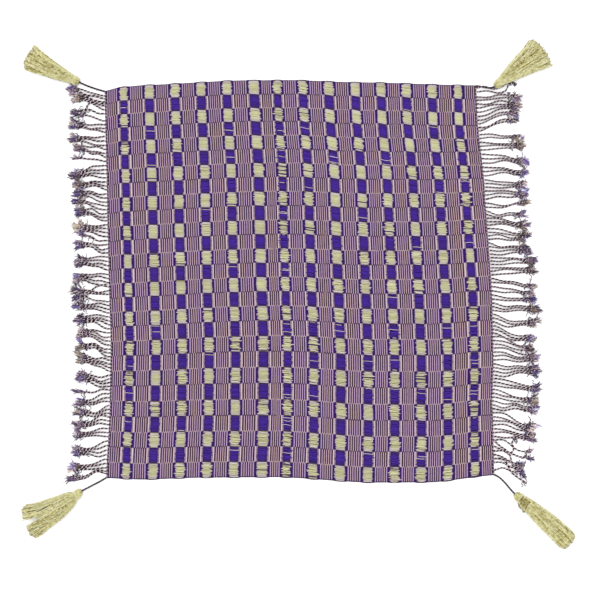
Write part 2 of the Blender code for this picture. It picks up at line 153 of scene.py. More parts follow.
# Each row: constant, slope and curve across the cloth, in mm, of the wave with one more half turn.
WANDER_UP = (
    (2.9, 2.8, 0.3), (0.3, 1.2, 0.5), (-1.2, -1.5, 0.4), (1.4, 0.2, -0.6), (-0.5, -0.4, 0.1),
)
WANDER_RIGHT = ((-0.1, 0.0, 0.1), (0.2, -0.8, -1.1), (0.9, 0.6, -1.0), (-0.2, -0.3, -0.2))

columns = 2 * BLOCK_COLUMNS + 1
widths = np.zeros(columns)
widths[::2], widths[1::2] = STRIPE_WIDTHS, BLOCK_WIDTHS
starts = np.concatenate([[0], np.cumsum(widths)]) / widths.sum()
print("columns:", columns, "bands:", BANDS, "blocks:", BLOCK_COLUMNS * BANDS)


def line_count(column):
    """Weft lines of a striped column."""
    return NARROW_LINES if column == NARROW_COLUMN else LINES


knot_columns, knot_shares = [0.0], [0.0]
for column in range(columns):
    if column % 2:
        bar = BAR_WIDTHS[column // 2] / BLOCK_WIDTHS[column // 2]
        ends, steps = np.array([bar, 1 - bar, 1.0]), np.array([BAR, 1 - BAR, 1.0])
    else:
        line_widths = np.ones(line_count(column))
        line_widths[[0, -1]] = EDGE_LINE
        ends = np.cumsum(line_widths) / line_widths.sum()
        steps = np.arange(1, len(ends) + 1) / len(ends)
    knot_columns.extend(column + steps)
    knot_shares.extend(starts[column] + (starts[column + 1] - starts[column]) * ends)


def column_share(place):
    """Share across the cloth at a column number with its fraction, read off the line ends."""
    return np.interp(place, knot_columns, knot_shares)


def band_share(place):
    """Share down the cloth at a band number: (1 - g) s + g s^2, so bands grow downwards."""
    step = np.asarray(place, float) / BANDS
    return (1 - BAND_GROWTH) * step + BAND_GROWTH * step * step


def wander(rows, across, down):
    """Sum of sin(m pi down) (a + b u + c (3 u^2 - 1) / 2), with u from -1 to 1 across, in metres."""
    u = 2 * across - 1
    waves = [np.sin((m + 1) * np.pi * down) * (a + b * u + c * (1.5 * u * u - 0.5))
             for m, (a, b, c) in enumerate(rows)]
    return 0.001 * sum(waves)


stations = column_share(np.arange(columns + 1))
middles = (stations[:-1] + stations[1:]) / 2
low_edge = edge("bottom", middles)[:, 1] - SCALLOP * (np.arange(columns) % 2)
design_low = np.array([edge("left", band_share(np.arange(BANDS + 1)))[:, 0].min(), low_edge.min()])
SHIFT = np.array(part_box("cloth")[0][:2]) - design_low
print("shift from the tables to the frame in mm:", np.round(1000 * SHIFT, 2))

# %% Points of the weave
SLANT = 0.0012
SLANT_MORE = 0.0030
SLANT_MIDDLE = 0.66
SLANT_WIDE = 0.28
SLANT_DEEP = 0.35
SLANT_FADE = 1.5


def is_block_column(place):
    """Whether a place lies in a block column: those have the odd numbers."""
    return np.floor(place).astype(int) % 2 == 1


def block_slant(place, band, across, down):
    """How far a block's floats lie below the band: they slant, most of all near the upper right.

    The drop runs from -1/2 to 1/2 between the bars and is 0 at the column's edges. Its size is
    the slant everywhere, plus the rest on a bell near the top, and it fades at both selvedges."""
    bell = np.exp(-((across - SLANT_MIDDLE) / SLANT_WIDE) ** 2 - (down / SLANT_DEEP) ** 2)
    fade = (1 - np.exp(-SLANT_FADE * band)) * (1 - np.exp(-SLANT_FADE * (BANDS - band)))
    drop = np.interp(place % 1.0, (0, BAR, 1 - BAR, 1), (0, -0.5, 0.5, 0))
    return np.where(is_block_column(place), drop, 0.0) * fade * (SLANT + SLANT_MORE * bell)


def weave_plan(place, band):
    """Plan point of a place in the weave, in the frame: patch, scallops, slant and the shift.

    A block's scallop is sin(pi x) over its width, outwards at each selvedge and soon faded."""
    place, band = np.broadcast_arrays(np.asarray(place, float), np.asarray(band, float))
    across, down = column_share(place), band_share(band)
    plan = cloth_plan(across, down - wander(WANDER_UP, across, down) / CLOTH_LENGTH)
    plan[..., 0] += wander(WANDER_RIGHT, across, down) * (1 - (2 * across - 1) ** 6)
    within = np.where(is_block_column(place), np.sin(np.pi * (place % 1.0)), 0.0)
    near_selvedge = np.exp(-SCALLOP_FADE * band) - np.exp(-SCALLOP_FADE * (BANDS - band))
    plan[..., 1] += SCALLOP * within * near_selvedge - block_slant(place, band, across, down)
    return plan + SHIFT


middle_point = weave_plan(columns / 2, BANDS / 2)
print("middle of the weave in mm:", np.round(1000 * middle_point, 1))

# %% [markdown]
# ## Helpers for yarn and mesh
#
# A yarn could be a curve with a bevel, but thousands of curve objects are slow, and a bevel can't
# be flattened or twisted freely. So a yarn is an oval section carried along a path, for many paths
# at once. A twisted cord is the same section, flat and wide, that turns as it goes: its two ends of
# the oval are the two plies.

# %% Sweep an oval along many paths
chance = np.random.default_rng(12)


def unit(vectors):
    """Vectors divided by their lengths."""
    return vectors / np.maximum(np.linalg.norm(vectors, axis=-1, keepdims=True), 1e-12)


def sweep(paths, half_width, half_height, sides, turn=0.0, reference=(0, 0, 1)):
    """Points of ovals along paths: centre + w cos(a) side + h sin(a) up, turned by the turn.

    Paths are (threads, rings, 3). Side is square to the path and the reference, up to both."""
    forward = unit(np.gradient(paths, axis=1))
    side = unit(np.cross(forward, np.asarray(reference, float)))
    up = np.cross(side, forward)
    shape = paths.shape[:2]
    angle = 2 * np.pi * np.arange(sides) / sides
    wide = np.broadcast_to(half_width, shape)[..., None] * np.cos(angle)
    high = np.broadcast_to(half_height, shape)[..., None] * np.sin(angle)
    turn = np.broadcast_to(turn, shape)[..., None]
    across = wide * np.cos(turn) - high * np.sin(turn)
    rise = wide * np.sin(turn) + high * np.cos(turn)
    return paths[:, :, None] + side[:, :, None] * across[..., None] + up[:, :, None] * rise[..., None]


def arc(paths):
    """Length along each path at each ring: the running sum of its steps."""
    steps = np.linalg.norm(np.diff(paths, axis=1), axis=-1)
    return np.concatenate([np.zeros((len(paths), 1)), np.cumsum(steps, axis=1)], axis=1)


straight = np.linspace((0, 0, 0), (1, 0, 0), 5)[None]
print("a swept path of 5 rings has points:", sweep(straight, 0.1, 0.1, 6).shape)

# %% Collect threads


class Threads:
    """Collects swept threads, with a UV map and a tone for each, into one closed mesh."""

    def __init__(self):
        """Starts with nothing collected."""
        self.points, self.loops, self.sizes, self.uvs, self.tones = [], [], [], [], []
        self.count = 0

    def add(self, swept, along, tone, around=None):
        """Joins ring to ring with quads and shuts both ends. V runs round, or is as given."""
        threads, rings, sides = swept.shape[:3]
        index = self.count + np.arange(threads * rings * sides).reshape(threads, rings, sides)
        after = np.roll(index, -1, axis=2)
        quads = np.stack([index[:, :-1], index[:, 1:], after[:, 1:], after[:, :-1]], axis=-1)
        along = np.broadcast_to(along, (threads, rings))[:, :, None]
        u = np.stack([along[:, :-1], along[:, 1:], along[:, 1:], along[:, :-1]], axis=-1)
        u = np.broadcast_to(u, quads.shape)
        if around is None:
            low = np.arange(sides) / sides
            v = np.stack([low, low, low + 1 / sides, low + 1 / sides], axis=-1)
            v = np.broadcast_to(v, quads.shape)
            cap_v = np.broadcast_to(low, (threads, 2, sides))
        else:
            ring_v = np.broadcast_to(around, (threads, rings))[:, :, None]
            v = np.stack([ring_v[:, :-1], ring_v[:, 1:], ring_v[:, 1:], ring_v[:, :-1]], axis=-1)
            v = np.broadcast_to(v, quads.shape)
            cap_v = np.broadcast_to(ring_v[:, [0, -1]], (threads, 2, sides))
        caps = np.stack([index[:, 0], index[:, -1, ::-1]], axis=1)
        cap_u = np.broadcast_to(along[:, [0, -1]], (threads, 2, sides))
        self.points.append(swept.reshape(-1, 3))
        self.loops += [quads.ravel(), caps.ravel()]
        self.sizes += [np.full(quads.size // 4, 4), np.full(threads * 2, sides)]
        self.uvs += [np.stack([u, v], -1).reshape(-1, 2), np.stack([cap_u, cap_v], -1).reshape(-1, 2)]
        tone = np.broadcast_to(np.asarray(tone, float).reshape(-1, 1, 1), (threads, rings, sides))
        self.tones.append(tone.ravel())
        self.count += threads * rings * sides


# %% Put arrays into a mesh


def make_piece(name, points, loops, sizes, maps, tones, split):
    """Puts arrays into a mesh, with its UV maps, its tones and a flat map named OFBake.

    That flat map is the plan. Where split is set, faces that look down get their own half."""
    mesh = bpy.data.meshes.new(name)
    mesh.vertices.add(len(points))
    mesh.vertices.foreach_set("co", points.astype(np.float32).ravel())
    mesh.loops.add(len(loops))
    mesh.loops.foreach_set("vertex_index", loops.astype(np.int32))
    mesh.polygons.add(len(sizes))
    mesh.polygons.foreach_set("loop_start", (np.cumsum(sizes) - sizes).astype(np.int32))
    mesh.update(calc_edges=True)
    mesh.polygons.foreach_set("use_smooth", np.ones(len(sizes), bool))
    for map_name, values in maps.items():
        layer = mesh.uv_layers.new(name=map_name)
        layer.data.foreach_set("uv", values.astype(np.float32).ravel())
    low, high = points.min(0), points.max(0)
    plan = ((points - low) / (high - low))[loops][:, :2]
    if split:
        normals = np.zeros(len(sizes) * 3, np.float32)
        mesh.polygons.foreach_get("normal", normals)
        down = np.repeat(normals.reshape(-1, 3)[:, 2] < 0, sizes)
        plan[:, 0] = plan[:, 0] * 0.49 + 0.5 * down
    mesh.uv_layers.new(name="OFBake").data.foreach_set("uv", plan.astype(np.float32).ravel())
    shade = mesh.attributes.new("tone", "FLOAT", "POINT")
    shade.data.foreach_set("value", tones.astype(np.float32))
    piece = bpy.data.objects.new(name, mesh)
    bpy.context.scene.collection.objects.link(piece)
    return piece


# %% Report a piece, and make one from threads


def report(piece):
    """Prints the triangles of a piece and its volume, the sum of a . (b x c) / 6 over them."""
    mesh = piece.data
    mesh.calc_loop_triangles()
    corners = np.zeros(3 * len(mesh.loop_triangles), np.int32)
    mesh.loop_triangles.foreach_get("vertices", corners)
    points = np.zeros(3 * len(mesh.vertices), np.float32)
    mesh.vertices.foreach_get("co", points)
    a, b, c = points.astype(float).reshape(-1, 3)[corners.reshape(-1, 3)].transpose(1, 0, 2)
    volume = float((a * np.cross(b, c)).sum() / 6)
    print(piece.name, "triangles:", len(a), "volume in ml:", round(1e6 * volume, 2),
          "lowest in mm:", round(1000 * float(points[2::3].min()), 2))


def make_threads(name, threads, finish, split=False):
    """One piece from collected threads, riding on the scarf's only body."""
    arrays = [np.concatenate(values) for values in (threads.points, threads.loops, threads.sizes)]
    maps = {"thread": np.concatenate(threads.uvs)}
    piece = make_piece(name, *arrays, maps, np.concatenate(threads.tones), split)
    piece.data.materials.append(finish)
    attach(piece, "root")
    report(piece)
    return piece


# %% [markdown]
# ## Helpers for finishes
#
# Every finish is a Principled shader with a pattern worked out by nodes. Short calls keep the
# recipes readable: each gives back the socket that the next one uses.

# %% Node recipes


def colour(red, green, blue):
    """A screen colour, 0 to 255, as the linear light that shaders use."""
    value = np.array([red, green, blue]) / 255
    linear = np.where(value < 0.04045, value / 12.92, ((value + 0.055) / 1.055) ** 2.4)
    return (*linear.tolist(), 1.0)


WHITE = colour(255, 255, 255)
FIBRE_BUMP = 0.0003
COTTON_SHINE = 0.05


class Finish:
    """A material with its shader, and calls that add nodes."""

    def __init__(self, name, roughness, sheen):
        """A Principled shader with hardly any shine."""
        self.material = bpy.data.materials.new(name)
        self.material.use_nodes = True
        self.nodes = self.material.node_tree.nodes
        self.shader = self.nodes["Principled BSDF"]
        self.shader.inputs["Roughness"].default_value = roughness
        self.shader.inputs["Sheen Weight"].default_value = sheen
        self.shader.inputs["Specular IOR Level"].default_value = COTTON_SHINE

    def put(self, socket, value):
        """Links a socket to another one, or sets it to a value."""
        if isinstance(value, bpy.types.NodeSocket):
            self.material.node_tree.links.new(value, socket)
        else:
            socket.default_value = value

    def math(self, operation, first, second=0.0, third=0.0):
        """One arithmetic operation on numbers or sockets."""
        node = self.nodes.new("ShaderNodeMath")
        node.operation = operation
        for socket, value in zip(node.inputs, (first, second, third)):
            self.put(socket, value)
        return node.outputs[0]

    def mix(self, factor, first, second, blend="MIX"):
        """Two colours, blended. A Mix node's colours are inputs 6 and 7, and output 2."""
        node = self.nodes.new("ShaderNodeMix")
        node.data_type = "RGBA"
        node.blend_type = blend
        self.put(node.inputs[0], factor)
        self.put(node.inputs[6], first)
        self.put(node.inputs[7], second)
        return node.outputs[2]

    def step(self, value, low, high):
        """0 below low, 1 above high, and a smooth step between."""
        node = self.nodes.new("ShaderNodeMapRange")
        node.interpolation_type = "SMOOTHSTEP"
        self.put(node.inputs[0], value)
        self.put(node.inputs[1], low)
        self.put(node.inputs[2], high)
        return node.outputs[0]

    def noise(self, scale, detail=2.0, stretch=(1, 1, 1)):
        """Noise on the piece's own coordinates, in waves for each metre."""
        where = self.nodes.new("ShaderNodeTexCoord")
        mapping = self.nodes.new("ShaderNodeMapping")
        mapping.inputs["Scale"].default_value = stretch
        self.put(mapping.inputs["Vector"], where.outputs["Object"])
        node = self.nodes.new("ShaderNodeTexNoise")
        node.inputs["Scale"].default_value = scale
        node.inputs["Detail"].default_value = detail
        self.put(node.inputs["Vector"], mapping.outputs[0])
        return node.outputs[0]

    def thread_noise(self, along, own, along_scale, own_scale):
        """Noise that changes slowly along a thread and isn't the same for two threads."""
        join = self.nodes.new("ShaderNodeCombineXYZ")
        self.put(join.inputs[0], self.math("MULTIPLY", along, along_scale))
        self.put(join.inputs[1], self.math("MULTIPLY", own, own_scale))
        node = self.nodes.new("ShaderNodeTexNoise")
        node.inputs["Scale"].default_value = 1.0
        self.put(node.inputs["Vector"], join.outputs[0])
        return node.outputs[0]

    def chance(self, first, second):
        """A random number from 0 to 1 for each pair of whole numbers."""
        join = self.nodes.new("ShaderNodeCombineXYZ")
        self.put(join.inputs[0], self.math("FLOOR", first))
        self.put(join.inputs[1], self.math("FLOOR", second))
        node = self.nodes.new("ShaderNodeTexWhiteNoise")
        node.noise_dimensions = "3D"
        self.put(node.inputs["Vector"], join.outputs[0])
        return node.outputs["Value"]

    def map(self, name):
        """The two numbers of a UV map."""
        where = self.nodes.new("ShaderNodeUVMap")
        where.uv_map = name
        parts = self.nodes.new("ShaderNodeSeparateXYZ")
        self.put(parts.inputs[0], where.outputs[0])
        return parts.outputs[0], parts.outputs[1]

    def tone(self):
        """The tone of the thread that a point is on."""
        node = self.nodes.new("ShaderNodeAttribute")
        node.attribute_name = "tone"
        return node.outputs["Fac"]

    def ramp(self, value, stops):
        """A colour that runs through the stops, each a place and a colour."""
        node = self.nodes.new("ShaderNodeValToRGB")
        points = node.color_ramp.elements
        while len(points) < len(stops):
            points.new(0.5)
        for point, (place, shade) in zip(points, stops):
            point.position = place
            point.color = shade
        self.put(node.inputs[0], value)
        return node.outputs[0]

    def bump(self, height, distance):
        """Makes the light fall as if the surface rose by the height, times a distance in metres."""
        node = self.nodes.new("ShaderNodeBump")
        node.inputs["Distance"].default_value = distance
        node.inputs["Strength"].default_value = 1.0
        self.put(node.inputs["Height"], height)
        self.put(self.shader.inputs["Normal"], node.outputs[0])

    def paint(self, shade):
        """Sets the colour and gives back the material, which is now finished."""
        self.put(self.shader.inputs["Base Color"], shade)
        return self.material


print("screen level 128 as a share of full light:", round(colour(128, 128, 128)[0], 3))

# %% [markdown]
# ## The woven ground
#
# The ground is a closed wall 1 to 1.5 mm thick. Its top is a fine grid whose lines rise where a weft
# yarn lies, so the ribs are real. Painting the stripes on a plain sheet would look the same from
# above, but not from a low angle. The underside is flat, as the scarf rests on it. The finish reads
# the weave's two numbers from a UV map, so lines, bars and joins bend with the cloth.

# %% Colours of the ground
DARK_LINE, LIGHT_LINE = colour(22, 2, 34), colour(166, 137, 172)
DARK_WARM, LIGHT_WARM = colour(34, 10, 16), colour(172, 144, 150)
EDGE_LIGHT, JOIN_LIGHT = colour(156, 134, 174), colour(170, 148, 150)
DARK_BAR, LIGHT_BAR = colour(50, 24, 86), colour(146, 122, 138)
BAR_MIDDLE = colour(206, 190, 196)
# Darker copies of the cream and the purple for the ground under the floats: painted shade in the gaps
# between them.
CREAM_GAP_SHADE, PURPLE_GAP_SHADE = colour(118, 106, 84), colour(36, 16, 84)
print("dark line as light:", [round(part, 4) for part in DARK_LINE[:3]])

# %% The stripes
# How far the lines drift sideways, in lines, and how soft their edges are.
LINE_DRIFT = 0.35
LINE_SOFT = 0.25
# Distances from a column's middle between which its outermost lines begin.
SIDE_LINES = (0.405, 0.415)
SIDE_STRENGTH = 0.8

ground = Finish("woven ground", 0.85, 0.05)
place, band_place = ground.map("weave")
column = ground.math("FLOOR", place)
within = ground.math("SUBTRACT", place, column)
is_block = ground.math("MODULO", column, 2.0)
parity = ground.math("MODULO", ground.math("FLOOR", band_place), 2.0)
drift = ground.math("SUBTRACT", ground.noise(45, 1.0), 0.5)
narrow = ground.math("COMPARE", column, float(NARROW_COLUMN), 0.5)
lines = ground.math("MULTIPLY_ADD", narrow, float(NARROW_LINES - LINES), float(LINES))
line = ground.math("MULTIPLY_ADD", within, lines, ground.math("MULTIPLY", drift, LINE_DRIFT))
wave = ground.math("SINE", ground.math("MULTIPLY", ground.math("ADD", line, parity), np.pi))
light = ground.step(wave, -LINE_SOFT, LINE_SOFT)
warmth = ground.math("MULTIPLY_ADD", ground.chance(line, column), 0.6, ground.noise(30, 2.0))
warmth = ground.step(warmth, 0.65, 1.05)
light_line = ground.mix(warmth, LIGHT_LINE, LIGHT_WARM)
from_middle = ground.math("ABSOLUTE", ground.math("SUBTRACT", within, 0.5))
at_side = ground.step(from_middle, *SIDE_LINES)
light_line = ground.mix(ground.math("MULTIPLY", at_side, SIDE_STRENGTH), light_line, EDGE_LIGHT)
stripes = ground.mix(light, ground.mix(warmth, DARK_LINE, DARK_WARM), light_line)
print("nodes of the stripes:", len(ground.nodes))

# %% Joins, bars and the painted shade between the floats
# Distances from a join of two bands between which its broken line ends.
JOIN_EDGE = (0.026, 0.046)
JOIN_DASHES = (0.36, 0.48)
JOIN_STRENGTH = 0.66
# Distances from a block's middle between which the floats end and the bar begins.
FLOATS_END = (0.255, 0.285)
BAR_EDGE = (0.015, 0.055)
SPECKLE = 0.38
PICKS = 24
PICK_BUMP = 0.35

nearest = ground.math("ROUND", band_place)
gap = ground.math("ABSOLUTE", ground.math("SUBTRACT", band_place, nearest))
on_join = ground.math("SUBTRACT", 1.0, ground.step(gap, *JOIN_EDGE))
join_light = ground.math("SUBTRACT", 1.0, ground.math("MODULO", nearest, 2.0))
broken = ground.step(ground.noise(420, 0.0, (1, 0.1, 1)), *JOIN_DASHES)
dashes = ground.math("MULTIPLY", on_join, broken)
join_colour = ground.mix(join_light, DARK_LINE, JOIN_LIGHT)
stripes = ground.mix(ground.math("MULTIPLY", dashes, JOIN_STRENGTH), stripes, join_colour)
in_floats = ground.math("SUBTRACT", 1.0, ground.step(from_middle, *FLOATS_END))
from_bar = ground.math("ABSOLUTE", ground.math("SUBTRACT", from_middle, 0.5 - BAR / 2))
light_bar = ground.mix(ground.step(from_bar, *BAR_EDGE), BAR_MIDDLE, LIGHT_BAR)
bars = ground.mix(parity, DARK_BAR, light_bar)
# Between the floats the ground gets a darker copy of its band's colour, as painted shade.
blocks = ground.mix(in_floats, bars, ground.mix(parity, CREAM_GAP_SHADE, PURPLE_GAP_SHADE))
cloth_colour = ground.mix(is_block, stripes, blocks)
fibre = ground.noise(650, 3.0)
speckle = ground.ramp(fibre, [(0.32, colour(110, 110, 110)), (0.64, WHITE)])
cloth_colour = ground.mix(SPECKLE, cloth_colour, speckle, "MULTIPLY")
pick = ground.math("SINE", ground.math("MULTIPLY", band_place, 2 * np.pi * PICKS))
ground.bump(ground.math("MULTIPLY_ADD", pick, PICK_BUMP, fibre), FIBRE_BUMP)
ground.paint(cloth_colour)
print("nodes of the whole ground:", len(ground.nodes))

# %% The shape of the ground
UNDER_EVERY = 3
RIB_STEPS = np.array([0, 1 / 3, 2 / 3])
BAR_STEPS = np.array([0, 0.25, 0.5, 0.75]) * BAR
FLOAT_STEPS = (BAR, 0.3, 0.5, 0.7)
BAND_STEPS = np.array([0, 0.06, 0.94])
WALL = 0.00095
RIB = 0.00050
RIB_ROUND = 0.8
JOIN_HALF = 0.05
JOIN_SINK = 0.55

block_steps = np.concatenate([BAR_STEPS, FLOAT_STEPS, 1 - BAR + BAR_STEPS])
places = [
    column + (block_steps if column % 2 else (np.arange(lines)[:, None] + RIB_STEPS).ravel() / lines)
    for column, lines in enumerate(map(line_count, range(columns)))
]
places = np.concatenate(places + [[float(columns)]])
bands = np.concatenate([(np.arange(BANDS)[:, None] + BAND_STEPS).ravel(), [BANDS]])


def ground_height(place, band):
    """Height of the top: a ridge |sin| for each weft line, sunk along the joins of the bands."""
    place, band = np.broadcast_arrays(place, band)
    within = place % 1.0
    lines = np.where(np.floor(place) == NARROW_COLUMN, NARROW_LINES, LINES)
    ridge = np.abs(np.sin(np.pi * lines * within)) ** RIB_ROUND
    from_side = np.minimum(within, 1 - within)
    bar = np.abs(np.sin(2 * np.pi * from_side / BAR)) ** RIB_ROUND
    ridge = np.where(is_block_column(place), np.where(from_side < BAR, bar, 0.0), ridge)
    join = np.exp(-(((band - np.round(band)) / JOIN_HALF) ** 2))
    return WALL + RIB * ridge * (1 - JOIN_SINK * join)


top_plan = weave_plan(places[None, :], bands[:, None])
top_rows, across = top_plan.shape[:2]
top = np.dstack([top_plan, ground_height(places[None, :], bands[:, None])])
under = np.dstack([top_plan[::UNDER_EVERY], np.zeros((len(bands[::UNDER_EVERY]), across))])
ground_points = np.concatenate([top.reshape(-1, 3), under.reshape(-1, 3)])
print("grid of the top:", top_rows, "rows of", across, "points")

# %% The mesh of the ground
top_index = np.arange(top_rows * across).reshape(top_rows, across)
under_index = top_index.size + np.arange(under.shape[0] * across).reshape(-1, across)


def grid_faces(index, flip):
    """Quads of a grid of point numbers, wound upwards, or downwards if flipped."""
    corners = [index[:-1, :-1], index[1:, :-1], index[1:, 1:], index[:-1, 1:]]
    return np.stack(corners[::-1] if flip else corners, axis=-1).reshape(-1, 4)


def selvedge_wall(upper, lower):
    """Quads between a row of the top and the same row of the underside."""
    return np.stack([upper[:-1], upper[1:], lower[1:], lower[:-1]], axis=-1)


def fringe_wall(upper, lower):
    """Faces of six points: two of the underside and the four of the top above them."""
    last = len(upper) - UNDER_EVERY
    tops = np.stack([upper[i:last + i:UNDER_EVERY] for i in range(UNDER_EVERY + 1)], -1)
    return np.concatenate([tops[:, ::-1], lower[:-1, None], lower[1:, None]], axis=1)


faces = [
    grid_faces(top_index, False), grid_faces(under_index, True),
    selvedge_wall(top_index[0], under_index[0]),
    selvedge_wall(top_index[-1], under_index[-1])[:, ::-1],
    fringe_wall(top_index[:, 0], under_index[:, 0]),
    fringe_wall(top_index[:, -1], under_index[:, -1])[:, ::-1],
]
ground_loops = np.concatenate([face.ravel() for face in faces])
ground_sizes = np.concatenate([np.full(len(face), face.shape[1]) for face in faces])
# The underside is painted one band further on, so its blocks have the other colour.
top_map = np.stack(np.broadcast_arrays(places[None, :], bands[:, None]), -1)
under_map = np.stack(np.broadcast_arrays(places[None, :], bands[::UNDER_EVERY, None] + 1), -1)
weave_map = np.concatenate([top_map.reshape(-1, 2), under_map.reshape(-1, 2)])
cloth = make_piece(
    "woven_ground", ground_points, ground_loops, ground_sizes, {"weave": weave_map[ground_loops]},
    np.zeros(len(ground_points)), True,
)
cloth.data.materials.append(ground.material)
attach(cloth, "root")
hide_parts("cloth")
report(cloth)

# %% [markdown]
# ## The floats
#
# In a block the warp yarns skip the picks and lie loose on the surface, twelve in each block. They
# are what makes the blocks soft and slightly raised. Their ends are ragged, some are pulled aside,
# and here and there a yarn of the other colour comes up among them as a streak.

# %% The finish of the floats
BORDER_EDGE = (0.20, 0.46)


def float_finish(name, middle, border, dull):
    """A yarn finish: one colour in the middle of a block, another at its border, dull by tone."""
    yarn = Finish(name, 0.75, 0.05)
    u, v = yarn.map("thread")
    aside = yarn.math("ABSOLUTE", yarn.math("SUBTRACT", u, 0.5))
    upwards = yarn.math("ABSOLUTE", yarn.math("SUBTRACT", v, 0.5))
    at_border = yarn.step(yarn.math("MAXIMUM", aside, upwards), *BORDER_EDGE)
    shade = yarn.mix(at_border, middle, border)
    shade = yarn.mix(yarn.tone(), shade, dull)
    strands = yarn.noise(700, 2.0, (0.25, 3.0, 1))
    grey = yarn.ramp(strands, [(0.3, colour(190, 190, 190)), (0.7, WHITE)])
    yarn.bump(strands, FIBRE_BUMP)
    return yarn.paint(yarn.mix(0.5, shade, grey, "MULTIPLY"))


cream_yarn = float_finish(
    "cream floats", colour(192, 191, 146), colour(190, 179, 183), colour(160, 152, 120))
purple_yarn = float_finish(
    "purple floats", colour(67, 37, 146), colour(62, 40, 108), colour(46, 26, 92))
print("finishes:", cream_yarn.name, "and", purple_yarn.name)

# %% How loose each block is
FLOATS = 12
LOOSE = 0.40
LOOSE_SPREAD = 0.22
LOOSE_LIMITS = (0.08, 1.3)
# Where blocks are looser: first column, the one after the last, first band, and by how much.
LOOSER = (
    (0, 1, 0, 0.35), (6, 7, 0, 0.75), (7, 8, 0, 0.25), (2, 4, 4, 0.15), (10, 14, 7, 0.25),
    (13, 14, 4, 0.30), (0, 14, 17, 0.15),
)

looseness = np.full((BLOCK_COLUMNS, BANDS), LOOSE)
for first_column, end_column, first_band, more in LOOSER:
    looseness[first_column:end_column, first_band:] += more
looseness += chance.normal(0, LOOSE_SPREAD, looseness.shape)
block, band, thread = (grid.ravel() for grid in np.meshgrid(
    np.arange(BLOCK_COLUMNS), np.arange(BANDS), np.arange(FLOATS), indexing="ij"))
loose = np.clip(looseness, *LOOSE_LIMITS)[block, band]
count = len(block)
print("floats:", count, "looseness from", round(loose.min(), 2), "to", round(loose.max(), 2))

# %% Where the floats run
FLOAT_RINGS = np.array([0, 0.09, 0.5, 0.91, 1])
FLOAT_SCALE = np.array([0.35, 0.92, 1, 0.92, 0.35])
FLOAT_SIDES = 5
# Along a float, in columns: how far from the bar it ends, less at the block's middle rows.
CREAM_INSET, PURPLE_INSET = 0.032, 0.046
ROUNDING = 0.11
RAGGED = 0.056
SHORTER = 0.015
# Across a float, in bands: how far it leans and sags when it is loose, and where it may lie.
LEAN, SAG = 0.014, 0.022
BAND_MARGIN = 0.03
EDGE_MARGIN = 0.02

height_in_band = (thread + 0.5) / FLOATS
rounding = np.abs(2 * height_in_band - 1) ** 5 * ROUNDING * (0.2 + loose)
ragged = RAGGED * (0.10 + loose)
inset = np.where(band % 2 == 1, PURPLE_INSET, CREAM_INSET) + rounding
first = 2 * block + 1 + BAR + inset + chance.normal(SHORTER, 1, count) * ragged
last = 2 * block + 2 - BAR - inset + chance.normal(-SHORTER, 1, count) * ragged
lean = chance.normal(0, LEAN, count) * loose
sag = chance.normal(0, SAG, count) * loose
ring = FLOAT_RINGS[None, :]
float_place = first[:, None] + (last - first)[:, None] * ring
middle_band = band + BAND_MARGIN + (1 - 2 * BAND_MARGIN) * height_in_band
float_band = middle_band[:, None] + lean[:, None] * (ring - 0.5)
float_band = float_band + sag[:, None] * np.sin(np.pi * ring)
float_band = np.clip(float_band, EDGE_MARGIN, BANDS - EDGE_MARGIN)
print("longest float in columns:", round((last - first).max(), 2))

# %% The shape of the floats
# Share of floats of the other colour: anywhere, and in loose and very loose blocks.
STREAKS = 0.005
LOOSE_STREAKS = 0.065
VERY_LOOSE, VERY_LOOSE_STREAKS = 0.95, 0.22
STREAK_LIFT = 0.00021
STREAK_GIRTH = 0.62
FLOAT_LOW = 0.00138
FLOAT_ARCH = 0.00022
FLOAT_HALF_WIDTH = 0.00100
FLOAT_HALF_HEIGHT = 0.00044

streak_share = STREAKS + LOOSE_STREAKS * np.clip(loose - LOOSE, 0, 1)
streak_share = streak_share + VERY_LOOSE_STREAKS * np.clip(loose - VERY_LOOSE, 0, 1)
swapped = chance.random(count) < streak_share
float_height = FLOAT_LOW + FLOAT_ARCH * np.sin(np.pi * ring) ** 0.5
float_height = float_height + np.where(swapped, STREAK_LIFT, 0.0)[:, None]
float_paths = np.dstack([weave_plan(float_place, float_band), float_height])
girth = np.where(swapped, STREAK_GIRTH, 1.0) * chance.uniform(0.88, 1.10, count)
half_width = FLOAT_HALF_WIDTH * girth[:, None] * FLOAT_SCALE
half_height = FLOAT_HALF_HEIGHT * girth[:, None] * FLOAT_SCALE
swept = sweep(float_paths, half_width, half_height, FLOAT_SIDES)
is_cream = (band % 2 == 0) != swapped
tones = np.clip(chance.normal(0.12, 0.24, count), 0, 1)
# A streak's V is 0, which paints it in the border's colour.
block_v = np.broadcast_to(
    np.where(swapped, 0.0, height_in_band)[:, None], (count, len(FLOAT_RINGS)))
for name, chosen, finish in (
        ("cream_floats", is_cream, cream_yarn), ("purple_floats", ~is_cream, purple_yarn)):
    threads = Threads()
    threads.add(swept[chosen], ring, tones[chosen], block_v[chosen])
    make_threads(name, threads, finish)

# %% [markdown]
# ## Twisted cords
#
# The selvedges, the last picks beside the fringes, the strands and the ties are all cords of two
# plies. One ply is dark and the other pale, so a strand shows as a row of dashes. A cord could be
# two thin yarns wound round each other, but one flat oval that turns has half the faces.

# %% The finish of the cords
PLY_SOFT = 0.15
TONE_STRENGTH = 0.16
WARM_TONE = colour(120, 86, 92)


